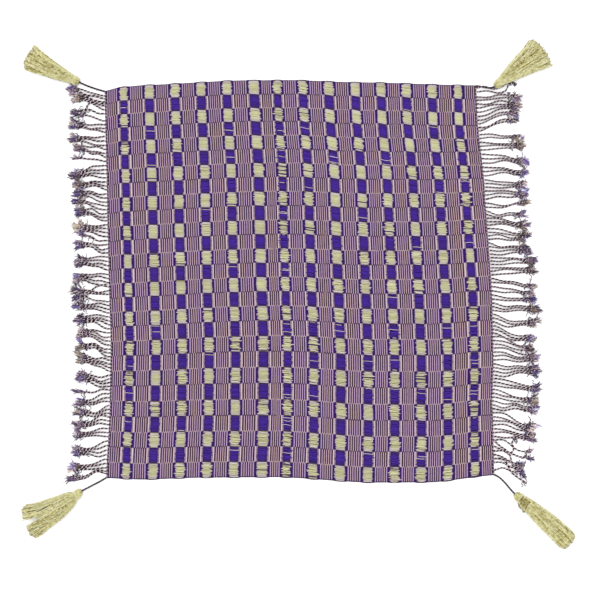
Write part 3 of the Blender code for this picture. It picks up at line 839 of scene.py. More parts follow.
def cord_finish(name, dark, light, level):
    """The dark ply is where cos(2 pi v) is above the level; as the cord turns, it shows as dashes."""
    cord = Finish(name, 0.85, 0.05)
    u, v = cord.map("thread")
    ply = cord.math("COSINE", cord.math("MULTIPLY", v, 2 * np.pi))
    shade = cord.mix(cord.step(ply, level - PLY_SOFT, level + PLY_SOFT), light, dark)
    shade = cord.mix(cord.math("MULTIPLY", cord.tone(), TONE_STRENGTH), shade, WARM_TONE)
    fibre = cord.noise(1500, 3.0)
    grey = cord.ramp(fibre, [(0.3, colour(150, 150, 150)), (0.7, WHITE)])
    cord.bump(fibre, FIBRE_BUMP)
    return cord.paint(cord.mix(0.4, shade, grey, "MULTIPLY"))


strand_cord = cord_finish("strand cord", colour(5, 2, 7), colour(226, 206, 213), -0.61)
tie_cord = cord_finish("tie cord", colour(12, 6, 16), colour(120, 104, 118), -0.62)
edge_cord = cord_finish("selvedge cord", colour(40, 22, 70), colour(88, 62, 112), -0.30)
pick_cord = cord_finish("pick cord", colour(26, 8, 32), colour(190, 162, 186), -0.55)
print("cord finishes:", [cord.name for cord in (strand_cord, tie_cord, edge_cord, pick_cord)])

# %% The shape of a cord
CORD_FLATNESS = 0.75


def twisted(threads, paths, half_width, pitch, sides, tone, phase=0.0):
    """Adds cords of two plies: an oval, a little wider than high, that turns once in each pitch."""
    length = arc(paths)
    phase = np.reshape(phase, (-1, 1))
    turn = 2 * np.pi * length / pitch + phase
    swept = sweep(paths, half_width, np.asarray(half_width) * CORD_FLATNESS, sides, turn)
    threads.add(swept, length / pitch + phase / (2 * np.pi), tone)


# %% Selvedges
EDGE_RINGS = 420
EDGE_SIDES = 6
EDGE_TONE = 0.1
SELVEDGE_HALF, SELVEDGE_PITCH = 0.00088, 0.011
SELVEDGE_OUT, SELVEDGE_HEIGHT = 0.0003, 0.00095
SELVEDGE_END = 0.002

selvedges = Threads()
run = np.linspace(SELVEDGE_END, columns - SELVEDGE_END, EDGE_RINGS)
for band_edge, outward in ((0.0, 1), (float(BANDS), -1)):
    plan = weave_plan(run, band_edge)
    plan[:, 1] += outward * SELVEDGE_OUT
    path = np.column_stack([plan, np.full(len(run), SELVEDGE_HEIGHT)])[None]
    twisted(selvedges, path, SELVEDGE_HALF, SELVEDGE_PITCH, EDGE_SIDES, EDGE_TONE)
make_threads("selvedge_cords", selvedges, edge_cord)

# %% Last picks
PICK_HALF, PICK_PITCH = 0.00078, 0.0064
PICK_HEIGHT = 0.00115
PICKS_BACK = (0.0004, 0.0019)
PICK_WAVE, PICK_WAVES = 0.0003, 31
PICK_END = 0.02

last_picks = Threads()
run = np.linspace(PICK_END, BANDS - PICK_END, EDGE_RINGS)
for column_edge, inward in ((0.0, 1), (float(columns), -1)):
    for back in PICKS_BACK:
        plan = weave_plan(column_edge, run)
        plan[:, 0] += inward * back + PICK_WAVE * np.sin(run * PICK_WAVES)
        path = np.column_stack([plan, np.full(len(run), PICK_HEIGHT)])[None]
        twisted(last_picks, path, PICK_HALF, PICK_PITCH, EDGE_SIDES, EDGE_TONE)
make_threads("last_picks", last_picks, pick_cord)

# %% [markdown]
# ## The fringes
#
# The warp ends are twisted in pairs and knotted, and lie in small groups, as someone combed them
# with their fingers. Each group's table row says how many strands it has, where its knots lie, how
# far it reaches and how far it leans. Beyond the knot the yarns open in a tuft.

# %% Tables of the fringes
SEAM_GAP = 0.0003
STRIP_END = 0.005
KNOT_SPACING = 0.0037
# Each row: how many strands, where their knots lie from the top, their reach and their lean.
LEFT_CLUMPS = (
    (2, -0.003, 0.066, -0.0115), (3, 0.012, 0.063, -0.013), (3, 0.038, 0.067, -0.009),
    (3, 0.06, 0.065, -0.004), (3, 0.084, 0.066, -0.003), (3, 0.1, 0.060, -0.0115),
    (1, 0.118, 0.063, -0.005), (4, 0.147, 0.067, 0.003), (3, 0.166, 0.064, 0),
    (3, 0.181, 0.062, -0.008), (2, 0.195, 0.068, -0.0115), (3, 0.213, 0.060, -0.009),
    (4, 0.242, 0.061, -0.0035), (1, 0.256, 0.053, -0.008), (3, 0.271, 0.060, -0.006),
    (4, 0.301, 0.062, -0.004), (4, 0.329, 0.065, -0.006), (4, 0.357, 0.072, -0.0065),
    (3, 0.381, 0.066, -0.0035), (4, 0.403, 0.065, -0.007), (4, 0.428, 0.064, -0.009),
    (3, 0.451, 0.064, -0.013), (4, 0.474, 0.064, -0.01), (4, 0.507, 0.065, -0.006),
    (1, 0.532, 0.065, 0.004), (3, 0.55, 0.062, 0.008), (3, 0.568, 0.065, 0.006),
    (3, 0.589, 0.065, 0.006), (3, 0.607, 0.067, 0.004), (4, 0.637, 0.064, 0.008),
    (3, 0.665, 0.071, 0.005), (2, 0.684, 0.074, 0.008),
)
RIGHT_CLUMPS = (
    (4, 0.015, 0.084, 0.002), (4, 0.0345, 0.081, -0.009), (2, 0.048, 0.075, -0.017),
    (2, 0.061, 0.071, -0.015), (2, 0.09, 0.078, 0), (3, 0.106, 0.082, 0),
    (3, 0.133, 0.089, 0.005), (3, 0.154, 0.079, 0.001), (3, 0.175, 0.077, 0.002),
    (3, 0.192, 0.080, 0), (2, 0.207, 0.080, -0.005), (2, 0.227, 0.076, 0.002),
    (3, 0.246, 0.078, 0.005), (4, 0.267, 0.077, 0.006), (4, 0.289, 0.076, 0),
    (3, 0.31, 0.084, 0), (3, 0.326, 0.081, -0.002), (2, 0.354, 0.083, 0.01),
    (2, 0.366, 0.081, 0.007), (2, 0.378, 0.082, 0.003), (3, 0.394, 0.085, 0.003),
    (3, 0.419, 0.085, 0.008), (3, 0.446, 0.075, 0.014), (3, 0.464, 0.072, 0.014),
    (4, 0.481, 0.080, 0.006), (4, 0.503, 0.084, 0), (3, 0.535, 0.088, 0.011),
    (3, 0.556, 0.085, 0.012), (3, 0.572, 0.083, 0.007), (4, 0.605, 0.079, 0.016),
    (3, 0.621, 0.079, 0.006), (4, 0.652, 0.076, 0.016), (5, 0.676, 0.055, 0.009),
)
# How pale each group's tufts are, from 0 to 1.
LEFT_TONES = (
    0.45, 0.50, 0.20, 0.45, 0.35, 0.50, 0.50, 0.45, 0.60, 0.15, 0.40, 0.45, 0.78, 0.50, 0.45, 0.45,
    0.50, 0.12, 0.50, 0.40, 0.62, 0.45, 0.50, 0.45, 0.50, 0.50, 0.45, 0.50, 0.50, 0.50, 0.72, 0.20,
)
RIGHT_TONES = (
    0.45, 0.50, 0.35, 0.50, 0.45, 0.50, 0.40, 0.45, 0.50, 0.40, 0.45, 0.50, 0.45, 0.40, 0.50, 0.45, 0.30,
    0.50, 0.55, 0.45, 0.40, 0.50, 0.45, 0.50, 0.45, 0.40, 0.50, 0.45, 0.40, 0.50, 0.35, 0.50, 0.45,
)
# The share of its reach at which a strand has its knot.
KNOT_SHARES = {"left": 0.68, "right": 0.77}


def strand_table(side, clumps):
    """Arrays for the strands of a fringe: group, root's place, knot's place, splay and reach.

    Roots of neighbouring groups share the edge between their middles by their numbers."""
    length = float(np.linalg.norm(edge(side, 1.0) - edge(side, 0.0)))
    clumps = np.array(clumps)
    numbers = clumps[:, 0].astype(int)
    roots = clumps[:, 1] - clumps[:, 3]
    shares = numbers[:-1] / (numbers[:-1] + numbers[1:])
    bounds = np.concatenate([[STRIP_END], roots[:-1] + np.diff(roots) * shares, [length - STRIP_END]])
    group = np.repeat(np.arange(len(clumps)), numbers)
    order = np.concatenate([np.arange(number) for number in numbers])
    low, high = bounds[group], bounds[group + 1]
    root = low + (high - low) * (order + 0.5) / numbers[group]
    splay = (order - (numbers[group] - 1) / 2) * KNOT_SPACING
    return length, group, root, clumps[group, 1], splay, clumps[group, 2]


print("groups of strands:", len(LEFT_CLUMPS), "and", len(RIGHT_CLUMPS))

# %% [markdown]
# ## Strands that stray
#
# A few strands have left their group: they curl back, or lie across their neighbours. A random curl
# would be as good for any other strand, but these stand out, so each follows a few points read off
# the photograph. A spline makes a smooth path through them, which is then cut in equal steps.

# %% Strands that stray
PHOTO_PIXEL = 0.00177
PHOTO_MIDDLE = (300, 291)
# By number from the top: the photo's pixels that each strand passes, its root first.
STRAYS = {
    "left": {
        6: ((104.5, 105), (98, 101), (92, 101.5), (88, 105), (86, 109), (85, 112)),
        51: ((107.5, 284), (96, 287), (88, 294), (82, 300), (77, 304)),
    },
    "right": {
        0: ((476.5, 88), (484, 86.5), (494, 89), (503, 86), (509, 80.5), (512, 82)),
        1: ((477, 92), (487, 91), (498, 93), (505, 91), (508, 86), (510, 81)),
        93: (
            (494, 440.5), (500, 446), (506, 450), (510, 456), (512.5, 465), (516.5, 470.5),
            (521.5, 474.5),
        ),
        94: (
            (494, 446), (502, 450), (509, 454), (512.5, 451), (513.5, 447), (511.5, 443.5),
            (514, 439),
        ),
        99: ((498, 458), (504, 460), (508, 466), (511, 472), (517, 477), (523, 481)),
    },
}
SPLINE_STEPS = 12


def smooth_path(points, count):
    """A path through points: a Catmull-Rom spline, then spread evenly by length."""
    ends = np.concatenate([[2 * points[0] - points[1]], points, [2 * points[-1] - points[-2]]])
    s = np.linspace(0, 1, SPLINE_STEPS)[:, None]
    parts = []
    for a, b, c, d in zip(ends, ends[1:], ends[2:], ends[3:]):
        bend = 2 * a - 5 * b + 4 * c - d + (3 * b - a - 3 * c + d) * s
        parts.append(b + 0.5 * s * (c - a + s * bend))
    fine = np.concatenate(parts)
    run = arc(fine[None])[0]
    even = np.linspace(0, run[-1], count)
    return np.column_stack([np.interp(even, run, fine[:, axis]) for axis in range(2)])


print("strands that stray:", {side: len(paths) for side, paths in STRAYS.items()})

# %% [markdown]
# ## Strands and tufts
#
# A strand leaves the cloth where its warp ends are, and eases over to its group's knots. Waves that
# a group partly shares keep neighbours nearly parallel, as twisted strands lie. Beyond its knot the
# twist opens, and the yarns spread in a fluffy tuft. A tuft could be a painted card, but that has no
# depth. So each yarn is a short walk of six steps, and the yarns of a bundle share part of their way.

# %% The finish of the tufts
tuft = Finish("fringe tufts", 0.9, 0.3)
tuft_stops = [
    (0.0, colour(18, 8, 34)), (0.25, colour(62, 38, 86)), (0.5, colour(128, 98, 136)),
    (0.75, colour(196, 176, 182)), (1.0, colour(240, 226, 206)),
]
warm_stops = [(0.0, colour(36, 24, 30)), (0.5, colour(132, 110, 100)), (1.0, colour(218, 206, 184))]
cool_stops = [(0.0, colour(14, 6, 44)), (0.5, colour(92, 70, 146)), (1.0, colour(206, 196, 226))]
tuft_fibre = tuft.noise(1300, 3.0)
tuft_warm = tuft.step(tuft.noise(40, 1.0), 0.52, 0.62)
tuft_grey = tuft.ramp(tuft_fibre, [(0.3, colour(160, 160, 160)), (0.7, WHITE)])
tuft.bump(tuft_fibre, FIBRE_BUMP)
tuft_cool = tuft.step(tuft.noise(52, 1.0), 0.52, 0.60)
tuft_shade = tuft.mix(tuft_cool, tuft.ramp(tuft.tone(), tuft_stops), tuft.ramp(tuft.tone(), cool_stops))
tuft_shade = tuft.mix(tuft_warm, tuft_shade, tuft.ramp(tuft.tone(), warm_stops))
tuft.paint(tuft.mix(0.4, tuft_shade, tuft_grey, "MULTIPLY"))
print("nodes of the tufts' finish:", len(tuft.nodes))

# %% Paths of strands
STRAND_RINGS = 60
# Half width of a strand at its root, and from the root's share of its length on.
STRAND_HALVES = {"left": (0.00130, 0.00178), "right": (0.00182, 0.00160)}
ROOT_SHARE = 0.15
ROOT_OUT = 0.0002
ROOT_HEIGHT = 0.0010
STRAND_CLEARANCE = 0.00020
SPLAY_KEPT = 0.95
KNOT_AHEAD = 0.0010
KNOT_HEIGHT = 0.0017


def walk(start, headings, stride):
    """Plan points of paths that leave their starts by equal steps, each step at its heading."""
    steps = np.stack([np.cos(headings), np.sin(headings)], axis=-1) * stride[..., None]
    return start[:, None, :2] + np.cumsum(steps, axis=1)


def raised(plan, height):
    """Plan points with a height for each."""
    return np.concatenate([plan, np.broadcast_to(height, plan.shape[:2])[..., None]], axis=-1)


class Fringe:
    """One fringe: the path of every strand, and from these its knots, tails and tufts."""

    def __init__(self, side, outward, clumps, tones):
        """A strand runs evenly outwards, on 3s^2 - 2s^3 across, plus a bow and a swing.

        The bow is sin^2(pi s) and the swing sin(2 pi s) sin(pi s), each partly the clump's own."""
        self.outward = outward
        length, self.group, root, knot, self.splay, reach = strand_table(side, clumps)
        self.number, self.groups = len(root), len(clumps)
        self.clump_tones = np.array(tones)[self.group]
        self.strays = np.isin(np.arange(self.number), list(STRAYS[side]))
        share = np.linspace(0, 1, STRAND_RINGS)[None, :]
        start = edge(side, root / length)
        start[:, 0] += outward * ROOT_OUT
        edge_x = edge(side, np.clip(knot / length, 0, 1))[:, 0]
        own_reach = reach + chance.normal(0, 0.0020, self.number)
        knot_share = KNOT_SHARES[side] + self.vary(0.018, 0.024)
        self.beyond = own_reach * (1 - knot_share)
        knot_x = edge_x + outward * own_reach * knot_share
        knot_y = edge(side, 0.0)[1] - knot - self.splay * SPLAY_KEPT
        ease = share * share * (3 - 2 * share)
        arch = np.sin(np.pi * share)
        bow = self.vary(0.0022, 0.0011)[:, None]
        swing = self.vary(0.0014, 0.0010)[:, None]
        x = start[:, :1] + (knot_x[:, None] - start[:, :1]) * share
        y = start[:, 1:] + (knot_y[:, None] - start[:, 1:]) * ease
        y = y + bow * arch ** 2 + swing * np.sin(2 * np.pi * share) * arch
        for index, points in STRAYS[side].items():
            points = PHOTO_PIXEL * (np.array(points, float) - PHOTO_MIDDLE) * (1, -1)
            x[index], y[index] = smooth_path(points, STRAND_RINGS).T
        root_half, body_half = STRAND_HALVES[side]
        half = root_half + (body_half - root_half) * np.minimum(share / ROOT_SHARE, 1)
        self.half = half * chance.uniform(0.9, 1.1, self.number)[:, None]
        rest = chance.uniform(0.0015, 0.0026, self.number)[:, None]
        z = ROOT_HEIGHT + (rest - ROOT_HEIGHT) * np.sin(np.pi * share * 0.5)
        z = np.maximum(z, self.half + STRAND_CLEARANCE)
        self.paths = np.dstack([x + SHIFT[0], y + SHIFT[1], z])
        self.forward = unit(self.paths[:, -1] - self.paths[:, -4])
        self.across = np.stack(
            [-self.forward[:, 1], self.forward[:, 0], np.zeros(self.number)], axis=1)
        self.heading = np.arctan2(self.forward[:, 1], self.forward[:, 0])[:, None]
        self.knots = self.paths[:, -1] + self.forward * KNOT_AHEAD
        self.knots[:, 2] = KNOT_HEIGHT

    def vary(self, by_clump, by_strand):
        """Chance amounts for the strands: one that a whole clump shares, plus each strand's own."""
        shared = chance.normal(0, by_clump, self.groups)[self.group]
        return shared + chance.normal(0, by_strand, self.number)

    def owners(self, each):
        """The strand that each of its tails, yarns or tangles belongs to."""
        return np.repeat(np.arange(self.number), each)


print("points along a strand:", STRAND_RINGS)

# %% Strands, knots and tails
STRAND_PITCH = 0.0066
STRAND_SIDES = 6
KNOT_TURN = 2 * np.pi * 1.4
KNOT_TURN_ROUNDED = 8.8
KNOT_RINGS = 12
KNOT_WIDE, KNOT_HIGH, KNOT_LONG = 0.0012, 0.0008, 0.0030
KNOT_HALF = 0.00078
KNOT_SIDES = 5
KNOT_REFERENCE = (0.6, 0.2, 0.77)
TAILS = 2
TAIL_RINGS = 12
TAIL_SIDES = 4
TAIL_HALF, TAIL_THINNING = 0.00112, 0.45
TAIL_PITCH = 0.0056
FULL_TURN = 6.28


def add_strands(threads, fringe):
    """The strands, each with its own pitch, tone and turn."""
    pitch = STRAND_PITCH * chance.uniform(0.80, 1.18, (fringe.number, 1))
    tone = chance.uniform(0, 0.8, fringe.number)
    turn = chance.uniform(0, FULL_TURN, fringe.number)
    twisted(threads, fringe.paths, fringe.half, pitch, STRAND_SIDES, tone, turn)


def add_knots(threads, fringe):
    """A knot is a loop of 1.4 turns, square to its strand and drawn out along it."""
    angle = np.linspace(0, KNOT_TURN, KNOT_RINGS)[None, :, None]
    loop = fringe.knots[:, None] + fringe.across[:, None] * np.cos(angle) * KNOT_WIDE
    loop = loop + np.array([0, 0, KNOT_HIGH]) * np.sin(angle)
    loop = loop + fringe.forward[:, None] * (angle / KNOT_TURN_ROUNDED - 0.5) * KNOT_LONG
    swept = sweep(loop, KNOT_HALF, KNOT_HALF, KNOT_SIDES, 0.0, KNOT_REFERENCE)
    threads.add(swept, 0.0, chance.uniform(0, 0.8, fringe.number), arc(loop) / STRAND_PITCH)


def add_tails(threads, fringe):
    """Tails are loose ends of a strand's plies, which wander away beyond its knot.

    Their headings drift evenly and swing once or so on a sine on their way."""
    owner = fringe.owners(TAILS)
    tails = len(owner)
    run = np.linspace(0, 1, TAIL_RINGS)[None, :]
    long = fringe.beyond[owner] * chance.uniform(0.35, 0.85, tails)
    long = np.where(fringe.strays[owner], 0.5 * long, long)
    headings = fringe.heading[owner] + chance.normal(0, 0.45, (tails, 1))
    headings = headings + chance.normal(0, 1.3, (tails, 1)) * run
    swing = chance.uniform(0.2, 0.9, (tails, 1))
    headings = headings + swing * np.sin(2 * np.pi * (run * 1.2 + chance.random((tails, 1))))
    plan = walk(fringe.knots[owner], headings, long[:, None] / (TAIL_RINGS - 1))
    paths = raised(plan, chance.uniform(0.0014, 0.0030, (tails, 1)))
    slim = TAIL_HALF * (1 - TAIL_THINNING * run ** 3) * chance.uniform(0.8, 1.15, (tails, 1))
    tone = chance.uniform(0, 1, tails)
    turn = chance.uniform(0, FULL_TURN, tails)
    twisted(threads, paths, slim, TAIL_PITCH, TAIL_SIDES, tone, turn)


print("a strand's dashes are", 1000 * STRAND_PITCH, "mm apart, and it has", TAILS, "tails")

# %% Tufts and tangles
TUFT_YARNS = 14
BUNDLES = 3
TUFT_RINGS = 7
TUFT_SIDES = 4
TUFT_FLATNESS = 0.8
TUFT_BASE_HEIGHT = 0.0016
SPLAY_FAN = 30
TANGLES = 3
TANGLE_RINGS = 12
TANGLE_SIDES = 4
TANGLE_HALF_WIDTH, TANGLE_HALF_HEIGHT = 0.00060, 0.00052


def add_tufts(threads, fringe):
    """A strand's yarns open in three bundles, each with its own way, length, curl and tone.

    A yarn's heading is its strand's, plus fan sqrt(s), curl s^2 and a sine for the frizz. Its
    half width is 0.75 + 1.3 s - 1.6 s^3 of its own size, so it swells and then thins."""
    owner = fringe.owners(TUFT_YARNS)
    yarns = len(owner)
    bundle = owner * BUNDLES + chance.integers(0, BUNDLES, yarns)
    shared = chance.normal(0, 1, (4, BUNDLES * fringe.number))[:, bundle]
    shorter = 0.80 + 0.13 * np.clip(shared[0], -2.0, 1.8) + chance.normal(0, 0.06, yarns)
    long = fringe.beyond[owner] * shorter
    long = np.where(fringe.strays[owner], 0.4 * long, long)
    fan = 0.30 * shared[1] + chance.normal(0, 0.13, yarns)
    fan = fan + (fringe.splay * SPLAY_FAN)[owner] * -fringe.outward
    curl = 0.50 * shared[2] + chance.normal(0, 0.22, yarns)
    step = np.linspace(0, 1, TUFT_RINGS)[None, :]
    frizz = 0.30 * np.sin(2 * np.pi * (1.5 * step + chance.random((yarns, 1))))
    headings = fringe.heading[owner] + fan[:, None] * np.sqrt(step) + curl[:, None] * step * step
    headings = headings + frizz
    end_height = chance.uniform(0.0007, 0.0026, yarns)[:, None]
    height = TUFT_BASE_HEIGHT + (end_height - TUFT_BASE_HEIGHT) * step
    base = fringe.knots[owner]
    base = base + fringe.forward[owner] * chance.uniform(-0.0022, 0.0040, (yarns, 1))
    base = base + fringe.across[owner] * chance.normal(0, 0.0009, (yarns, 1))
    plan = walk(base, headings[:, 1:], long[:, None] / (TUFT_RINGS - 1))
    paths = raised(np.concatenate([base[:, None, :2], plan], axis=1), height)
    half = chance.uniform(0.00034, 0.00066, yarns)[:, None] * (0.75 + 1.3 * step - 1.6 * step ** 3)
    own_tone = fringe.clump_tones[owner] + chance.normal(0, 0.06, fringe.number)[owner]
    tone = np.clip(own_tone - 0.06 + 0.22 * shared[3] + chance.normal(0, 0.20, yarns), 0, 1)
    threads.add(sweep(paths, half, half * TUFT_FLATNESS, TUFT_SIDES), step, tone)


def add_tangles(threads, fringe):
    """Dark loose curls of yarn about the knots: their headings turn evenly and swing on a sine."""
    owner = fringe.owners(TANGLES)
    tangles = len(owner)
    run = np.linspace(0, 1, TANGLE_RINGS)[None, :]
    headings = chance.normal(0, 1.2, (tangles, 1)) + chance.normal(0, 2.2, (tangles, 1)) * run
    swing = chance.uniform(0.6, 1.6, (tangles, 1))
    headings = headings + swing * np.sin(2 * np.pi * (run * 1.7 + chance.random((tangles, 1))))
    stride = chance.uniform(0.008, 0.018, (tangles, 1)) / (TANGLE_RINGS - 1)
    headings = headings + fringe.heading[owner]
    back = chance.uniform(-0.006, 0.003, (tangles, 1))
    plan = walk(fringe.knots[owner] + fringe.forward[owner] * back, headings, stride)
    height = chance.uniform(0.0014, 0.0034, (tangles, 1)) + 0.0006 * np.sin(2 * np.pi * run)
    swept = sweep(raised(plan, height), TANGLE_HALF_WIDTH, TANGLE_HALF_HEIGHT, TANGLE_SIDES)
    threads.add(swept, run, np.clip(chance.normal(0.14, 0.22, tangles), 0, 0.9))


print("a tuft has", TUFT_YARNS, "yarns in", BUNDLES, "bundles, and", TANGLES, "tangles")

# %% The two fringes


def build_fringe(side, outward, clumps, tones):
    """Two pieces: the strands with their knots and tails, and the tufts with their tangles."""
    fringe = Fringe(side, outward, clumps, tones)
    strands = Threads()
    add_strands(strands, fringe)
    add_knots(strands, fringe)
    add_tails(strands, fringe)
    piece = make_threads("strands_" + side, strands, strand_cord, True)
    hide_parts("fringe_" + side)
    tufts = Threads()
    add_tufts(tufts, fringe)
    add_tangles(tufts, fringe)
    make_threads("tufts_" + side, tufts, tuft.material, True)


build_fringe("left", -1, LEFT_CLUMPS, LEFT_TONES)
build_fringe("right", 1, RIGHT_CLUMPS, RIGHT_TONES)

# %% [markdown]
# ## The tassels
#
# A tassel is a bundle of yarn, doubled over its tie and bound at the neck. Lying down, it spreads
# in a fan. Its yarns could be hair particles, but those don't export. So each yarn is a thread of
# its own on the surface that the tassel's solid gives, in layers, over a darker core. The dark core
# and the darker deep layers are painted shade, for the shade deep inside the tassel.

# %% Tables of the tassels
FLOOR_GAP = 0.0004
HEAD_HALF = 0.0077
NECK_HALF = 0.0071
NECK_SHARE = 0.13
PARTING_SHARE = 0.70
# A tassel whose halves part by more than this shows a notch.
PARTED = 0.002
# Each row: share of the tassel's length, then the head's width or the tassel's height there.
HEAD_WIDTHS = ((0.0, 0.45), (0.02, 0.85), (0.06, 1.0), (0.10, 0.95), (0.13, 0.922))
TASSEL_HEIGHTS = (
    (0.0, 0.0048), (0.02, 0.0078), (0.06, 0.0090), (0.10, 0.0086), (0.13, 0.0074), (0.22, 0.0092),
    (0.50, 0.0086), (1.0, 0.0056),
)
TASSEL_FIELDS = ("head", "heading", "reach", "fan", "fullness", "parting", "slant", "bend")
TASSELS = {
    "top_left": ((-0.0450, 0.0160), 153.5, 0.103, 13.0, 0.95, 0.0, 0.0, 0.0021),
    "top_right": ((0.0329, -0.0013), 36.2, 0.108, 16.0, 0.87, 0.001, 0.0, 0.0015),
    "bottom_left": ((-0.0434, -0.0235), 209.5, 0.115, 14.8, 0.56, 0.0045, 0.05, 0.0048),
    "bottom_right": ((0.0364, -0.0338), -41.6, 0.131, 8.0, 0.45, 0.0, 0.0, 0.0010),
}
# How far the two corners of a tassel's end come to a point: right side of its heading, then left.
TIPS = {
    "top_left": (0.08, 0.0), "top_right": (0.075, 0.045), "bottom_left": (0.0, 0.0),
    "bottom_right": (0.0, 0.0),
}
END_ROUNDING = 0.07
SIDE_HEIGHT, CROWN_HEIGHT, CROWN_WIDTH = 0.55, 0.45, 0.86


def heading_vector(degrees):
    """Unit vector in plan: (cos, sin) of the angle from +X."""
    return np.array([np.cos(np.radians(degrees)), np.sin(np.radians(degrees))])


class Tassel:
    """Reads one tassel's row, and gives points on it."""

    def __init__(self, corner):
        """Puts the row in the frame: its head, its way and its side, which is to the left."""
        row = dict(zip(TASSEL_FIELDS, TASSELS[corner]))
        self.corner = corner
        self.head = CORNERS[corner] + np.array(row["head"]) + SHIFT
        self.forward = heading_vector(row["heading"])
        self.side = np.array([-self.forward[1], self.forward[0]])
        self.reach, self.fan = row["reach"], np.radians(row["fan"])
        self.fullness, self.parting = row["fullness"], row["parting"]
        self.slant, self.bend = row["slant"], row["bend"]
        self.tips = TIPS[corner]

    def half_width(self, share):
        """The head's widths to the neck; beyond it a power curve that swells to the fan's end."""
        head = np.interp(share, *np.array(HEAD_WIDTHS).T) * HEAD_HALF
        step = np.maximum((share - NECK_SHARE) / (1 - NECK_SHARE), 0)
        end_half = self.reach * np.sin(self.fan)
        skirt = NECK_HALF + (end_half - NECK_HALF) * step ** self.fullness
        return np.where(share < NECK_SHARE, head, skirt)

    def end_share(self, across):
        """Yarns end on an arc about the head: cos(fan x across), plus the slant.

        Corners are rounded off by a^6, and a pointed one gets its tip back by a^16."""
        rounded = 1 - END_ROUNDING * np.abs(across) ** 6
        tip = np.where(across < 0, self.tips[0], self.tips[1]) * np.abs(across) ** 16
        return (np.cos(self.fan * across) + self.slant * across) * (rounded + tip)

    def place(self, share, across, level):
        """A point: share along, across from -1 to 1, level from 0 (floor) to 2 (top).

        The height is the table's times a part of a circle over the width."""
        share, across, level = np.broadcast_arrays(share, across, level)
        dome = np.sqrt(np.maximum(1 - (CROWN_WIDTH * across) ** 2, 0))
        crown = SIDE_HEIGHT + CROWN_HEIGHT * dome
        z = FLOOR_GAP + smooth_curve(TASSEL_HEIGHTS, share) * crown * level / 2
        parting = np.maximum((share - PARTING_SHARE) / (1 - PARTING_SHARE), 0) * self.parting
        aside = across * self.half_width(share) + np.sign(across) * parting
        aside = aside + self.bend * np.sin(np.pi * share)
        plan = self.head + self.forward * (share * self.reach)[..., None] + self.side * aside[..., None]
        return np.dstack([plan, z]) if plan.ndim == 3 else np.column_stack([plan, z])


print("tassel lengths in mm:", {name: round(1000 * row[2]) for name, row in TASSELS.items()})

# %% The finish of the tassels
SKEIN_TWIST = 0.25
SKEIN_ALONG = 1.7
SKEIN_PATCHES = 1.5
SKEIN_MIDDLE = 1.66

skein = Finish("tassel yarn", 0.7, 0.3)
skein_stops = [
    (0.0, colour(96, 80, 36)), (0.22, colour(138, 124, 64)), (0.42, colour(176, 168, 106)),
    (0.70, colour(198, 194, 138)), (1.0, colour(214, 211, 172)),
]
skein_fibre = skein.noise(1100, 3.0)
skein_grey = skein.ramp(skein_fibre, [(0.3, colour(175, 172, 160)), (0.7, WHITE)])
u, v = skein.map("thread")
skein_twist = skein.math("SINE", skein.math("MULTIPLY", skein.math("ADD", u, v), 2 * np.pi))
skein.bump(skein.math("MULTIPLY_ADD", skein_twist, SKEIN_TWIST, skein_fibre), FIBRE_BUMP)
skein_own = skein.tone()
skein_along = skein.thread_noise(u, skein_own, 0.16, 90.0)
skein_patch = skein.math("MULTIPLY_ADD", skein_along, SKEIN_ALONG, skein_own)
skein_patch = skein.math("MULTIPLY_ADD", skein.noise(260, 2.0), SKEIN_PATCHES, skein_patch)
skein_shade = skein.ramp(skein.math("SUBTRACT", skein_patch, SKEIN_MIDDLE), skein_stops)
skein.paint(skein.mix(0.4, skein_shade, skein_grey, "MULTIPLY"))
print("nodes of the tassels' finish:", len(skein.nodes))

# %% Core and windings
SKEIN_PITCH = 0.0022
CORE_RINGS, CORE_SIDES = 16, 14
CORE_START, CORE_END, PARTED_CORE_END = 0.015, 0.88, 0.50
CORE_LEVEL, CORE_WIDTH, CORE_HEIGHT = 0.95, 0.86, 0.40
# The core gets the darkest tone of the yarn: painted shade deep inside the tassel.
CORE_SHADE_TONE = 0.05
WINDINGS = 4
WINDING_POINTS, WINDING_SIDES = 64, 5
WINDING_LONG = 0.0062
WINDING_OUT, WINDING_UP = 0.0002, 0.0004
WINDING_HALF = 0.00062


def add_core(threads, shape):
    """A flat dark core under the yarns: painted shade that shows between them.
    In a parted tassel it ends before the notch.
    """
    stop = PARTED_CORE_END if shape.parting > PARTED else CORE_END
    share = np.linspace(CORE_START, stop, CORE_RINGS)
    path = shape.place(share, np.zeros(CORE_RINGS), np.full(CORE_RINGS, CORE_LEVEL))[None]
    half = shape.half_width(share)[None] * CORE_WIDTH
    high = smooth_curve(TASSEL_HEIGHTS, share)[None] * CORE_HEIGHT
    threads.add(sweep(path, half, high, CORE_SIDES), 0.0, CORE_SHADE_TONE)


def add_windings(threads, shape, tone):
    """A yarn wound round the neck on a helix with an oval section, the neck's own."""
    turns = np.linspace(0, 2 * np.pi * WINDINGS, WINDING_POINTS)
    share = NECK_SHARE + WINDING_LONG * (turns / turns[-1] - 0.5) / shape.reach * 1.2
    high = smooth_curve(TASSEL_HEIGHTS, share) / 2
    aside = np.cos(turns) * (shape.half_width(share) + WINDING_OUT)
    aside = aside + shape.bend * np.sin(np.pi * share)
    plan = shape.head + shape.forward * (share * shape.reach)[:, None] + shape.side * aside[:, None]
    path = np.column_stack([plan, FLOOR_GAP + WINDING_UP + high * (1 + np.sin(turns))])[None]
    ahead = (*shape.forward, 0.0)
    swept = sweep(path, WINDING_HALF, WINDING_HALF, WINDING_SIDES, 0.0, ahead)
    threads.add(swept, arc(path) / SKEIN_PITCH, tone)


print("neck at a share of", NECK_SHARE, "with", WINDINGS, "turns of yarn")

# %% Yarns
YARN_RINGS = 28
YARN_SIDES = 4
YARN_START = 0.004
YARN_SPREAD = 0.96
YARN_FLATNESS = 0.9
YARN_CLEARANCE = 0.0002
CRIMP = 0.0008
NOTCH_SIDE = 0.05
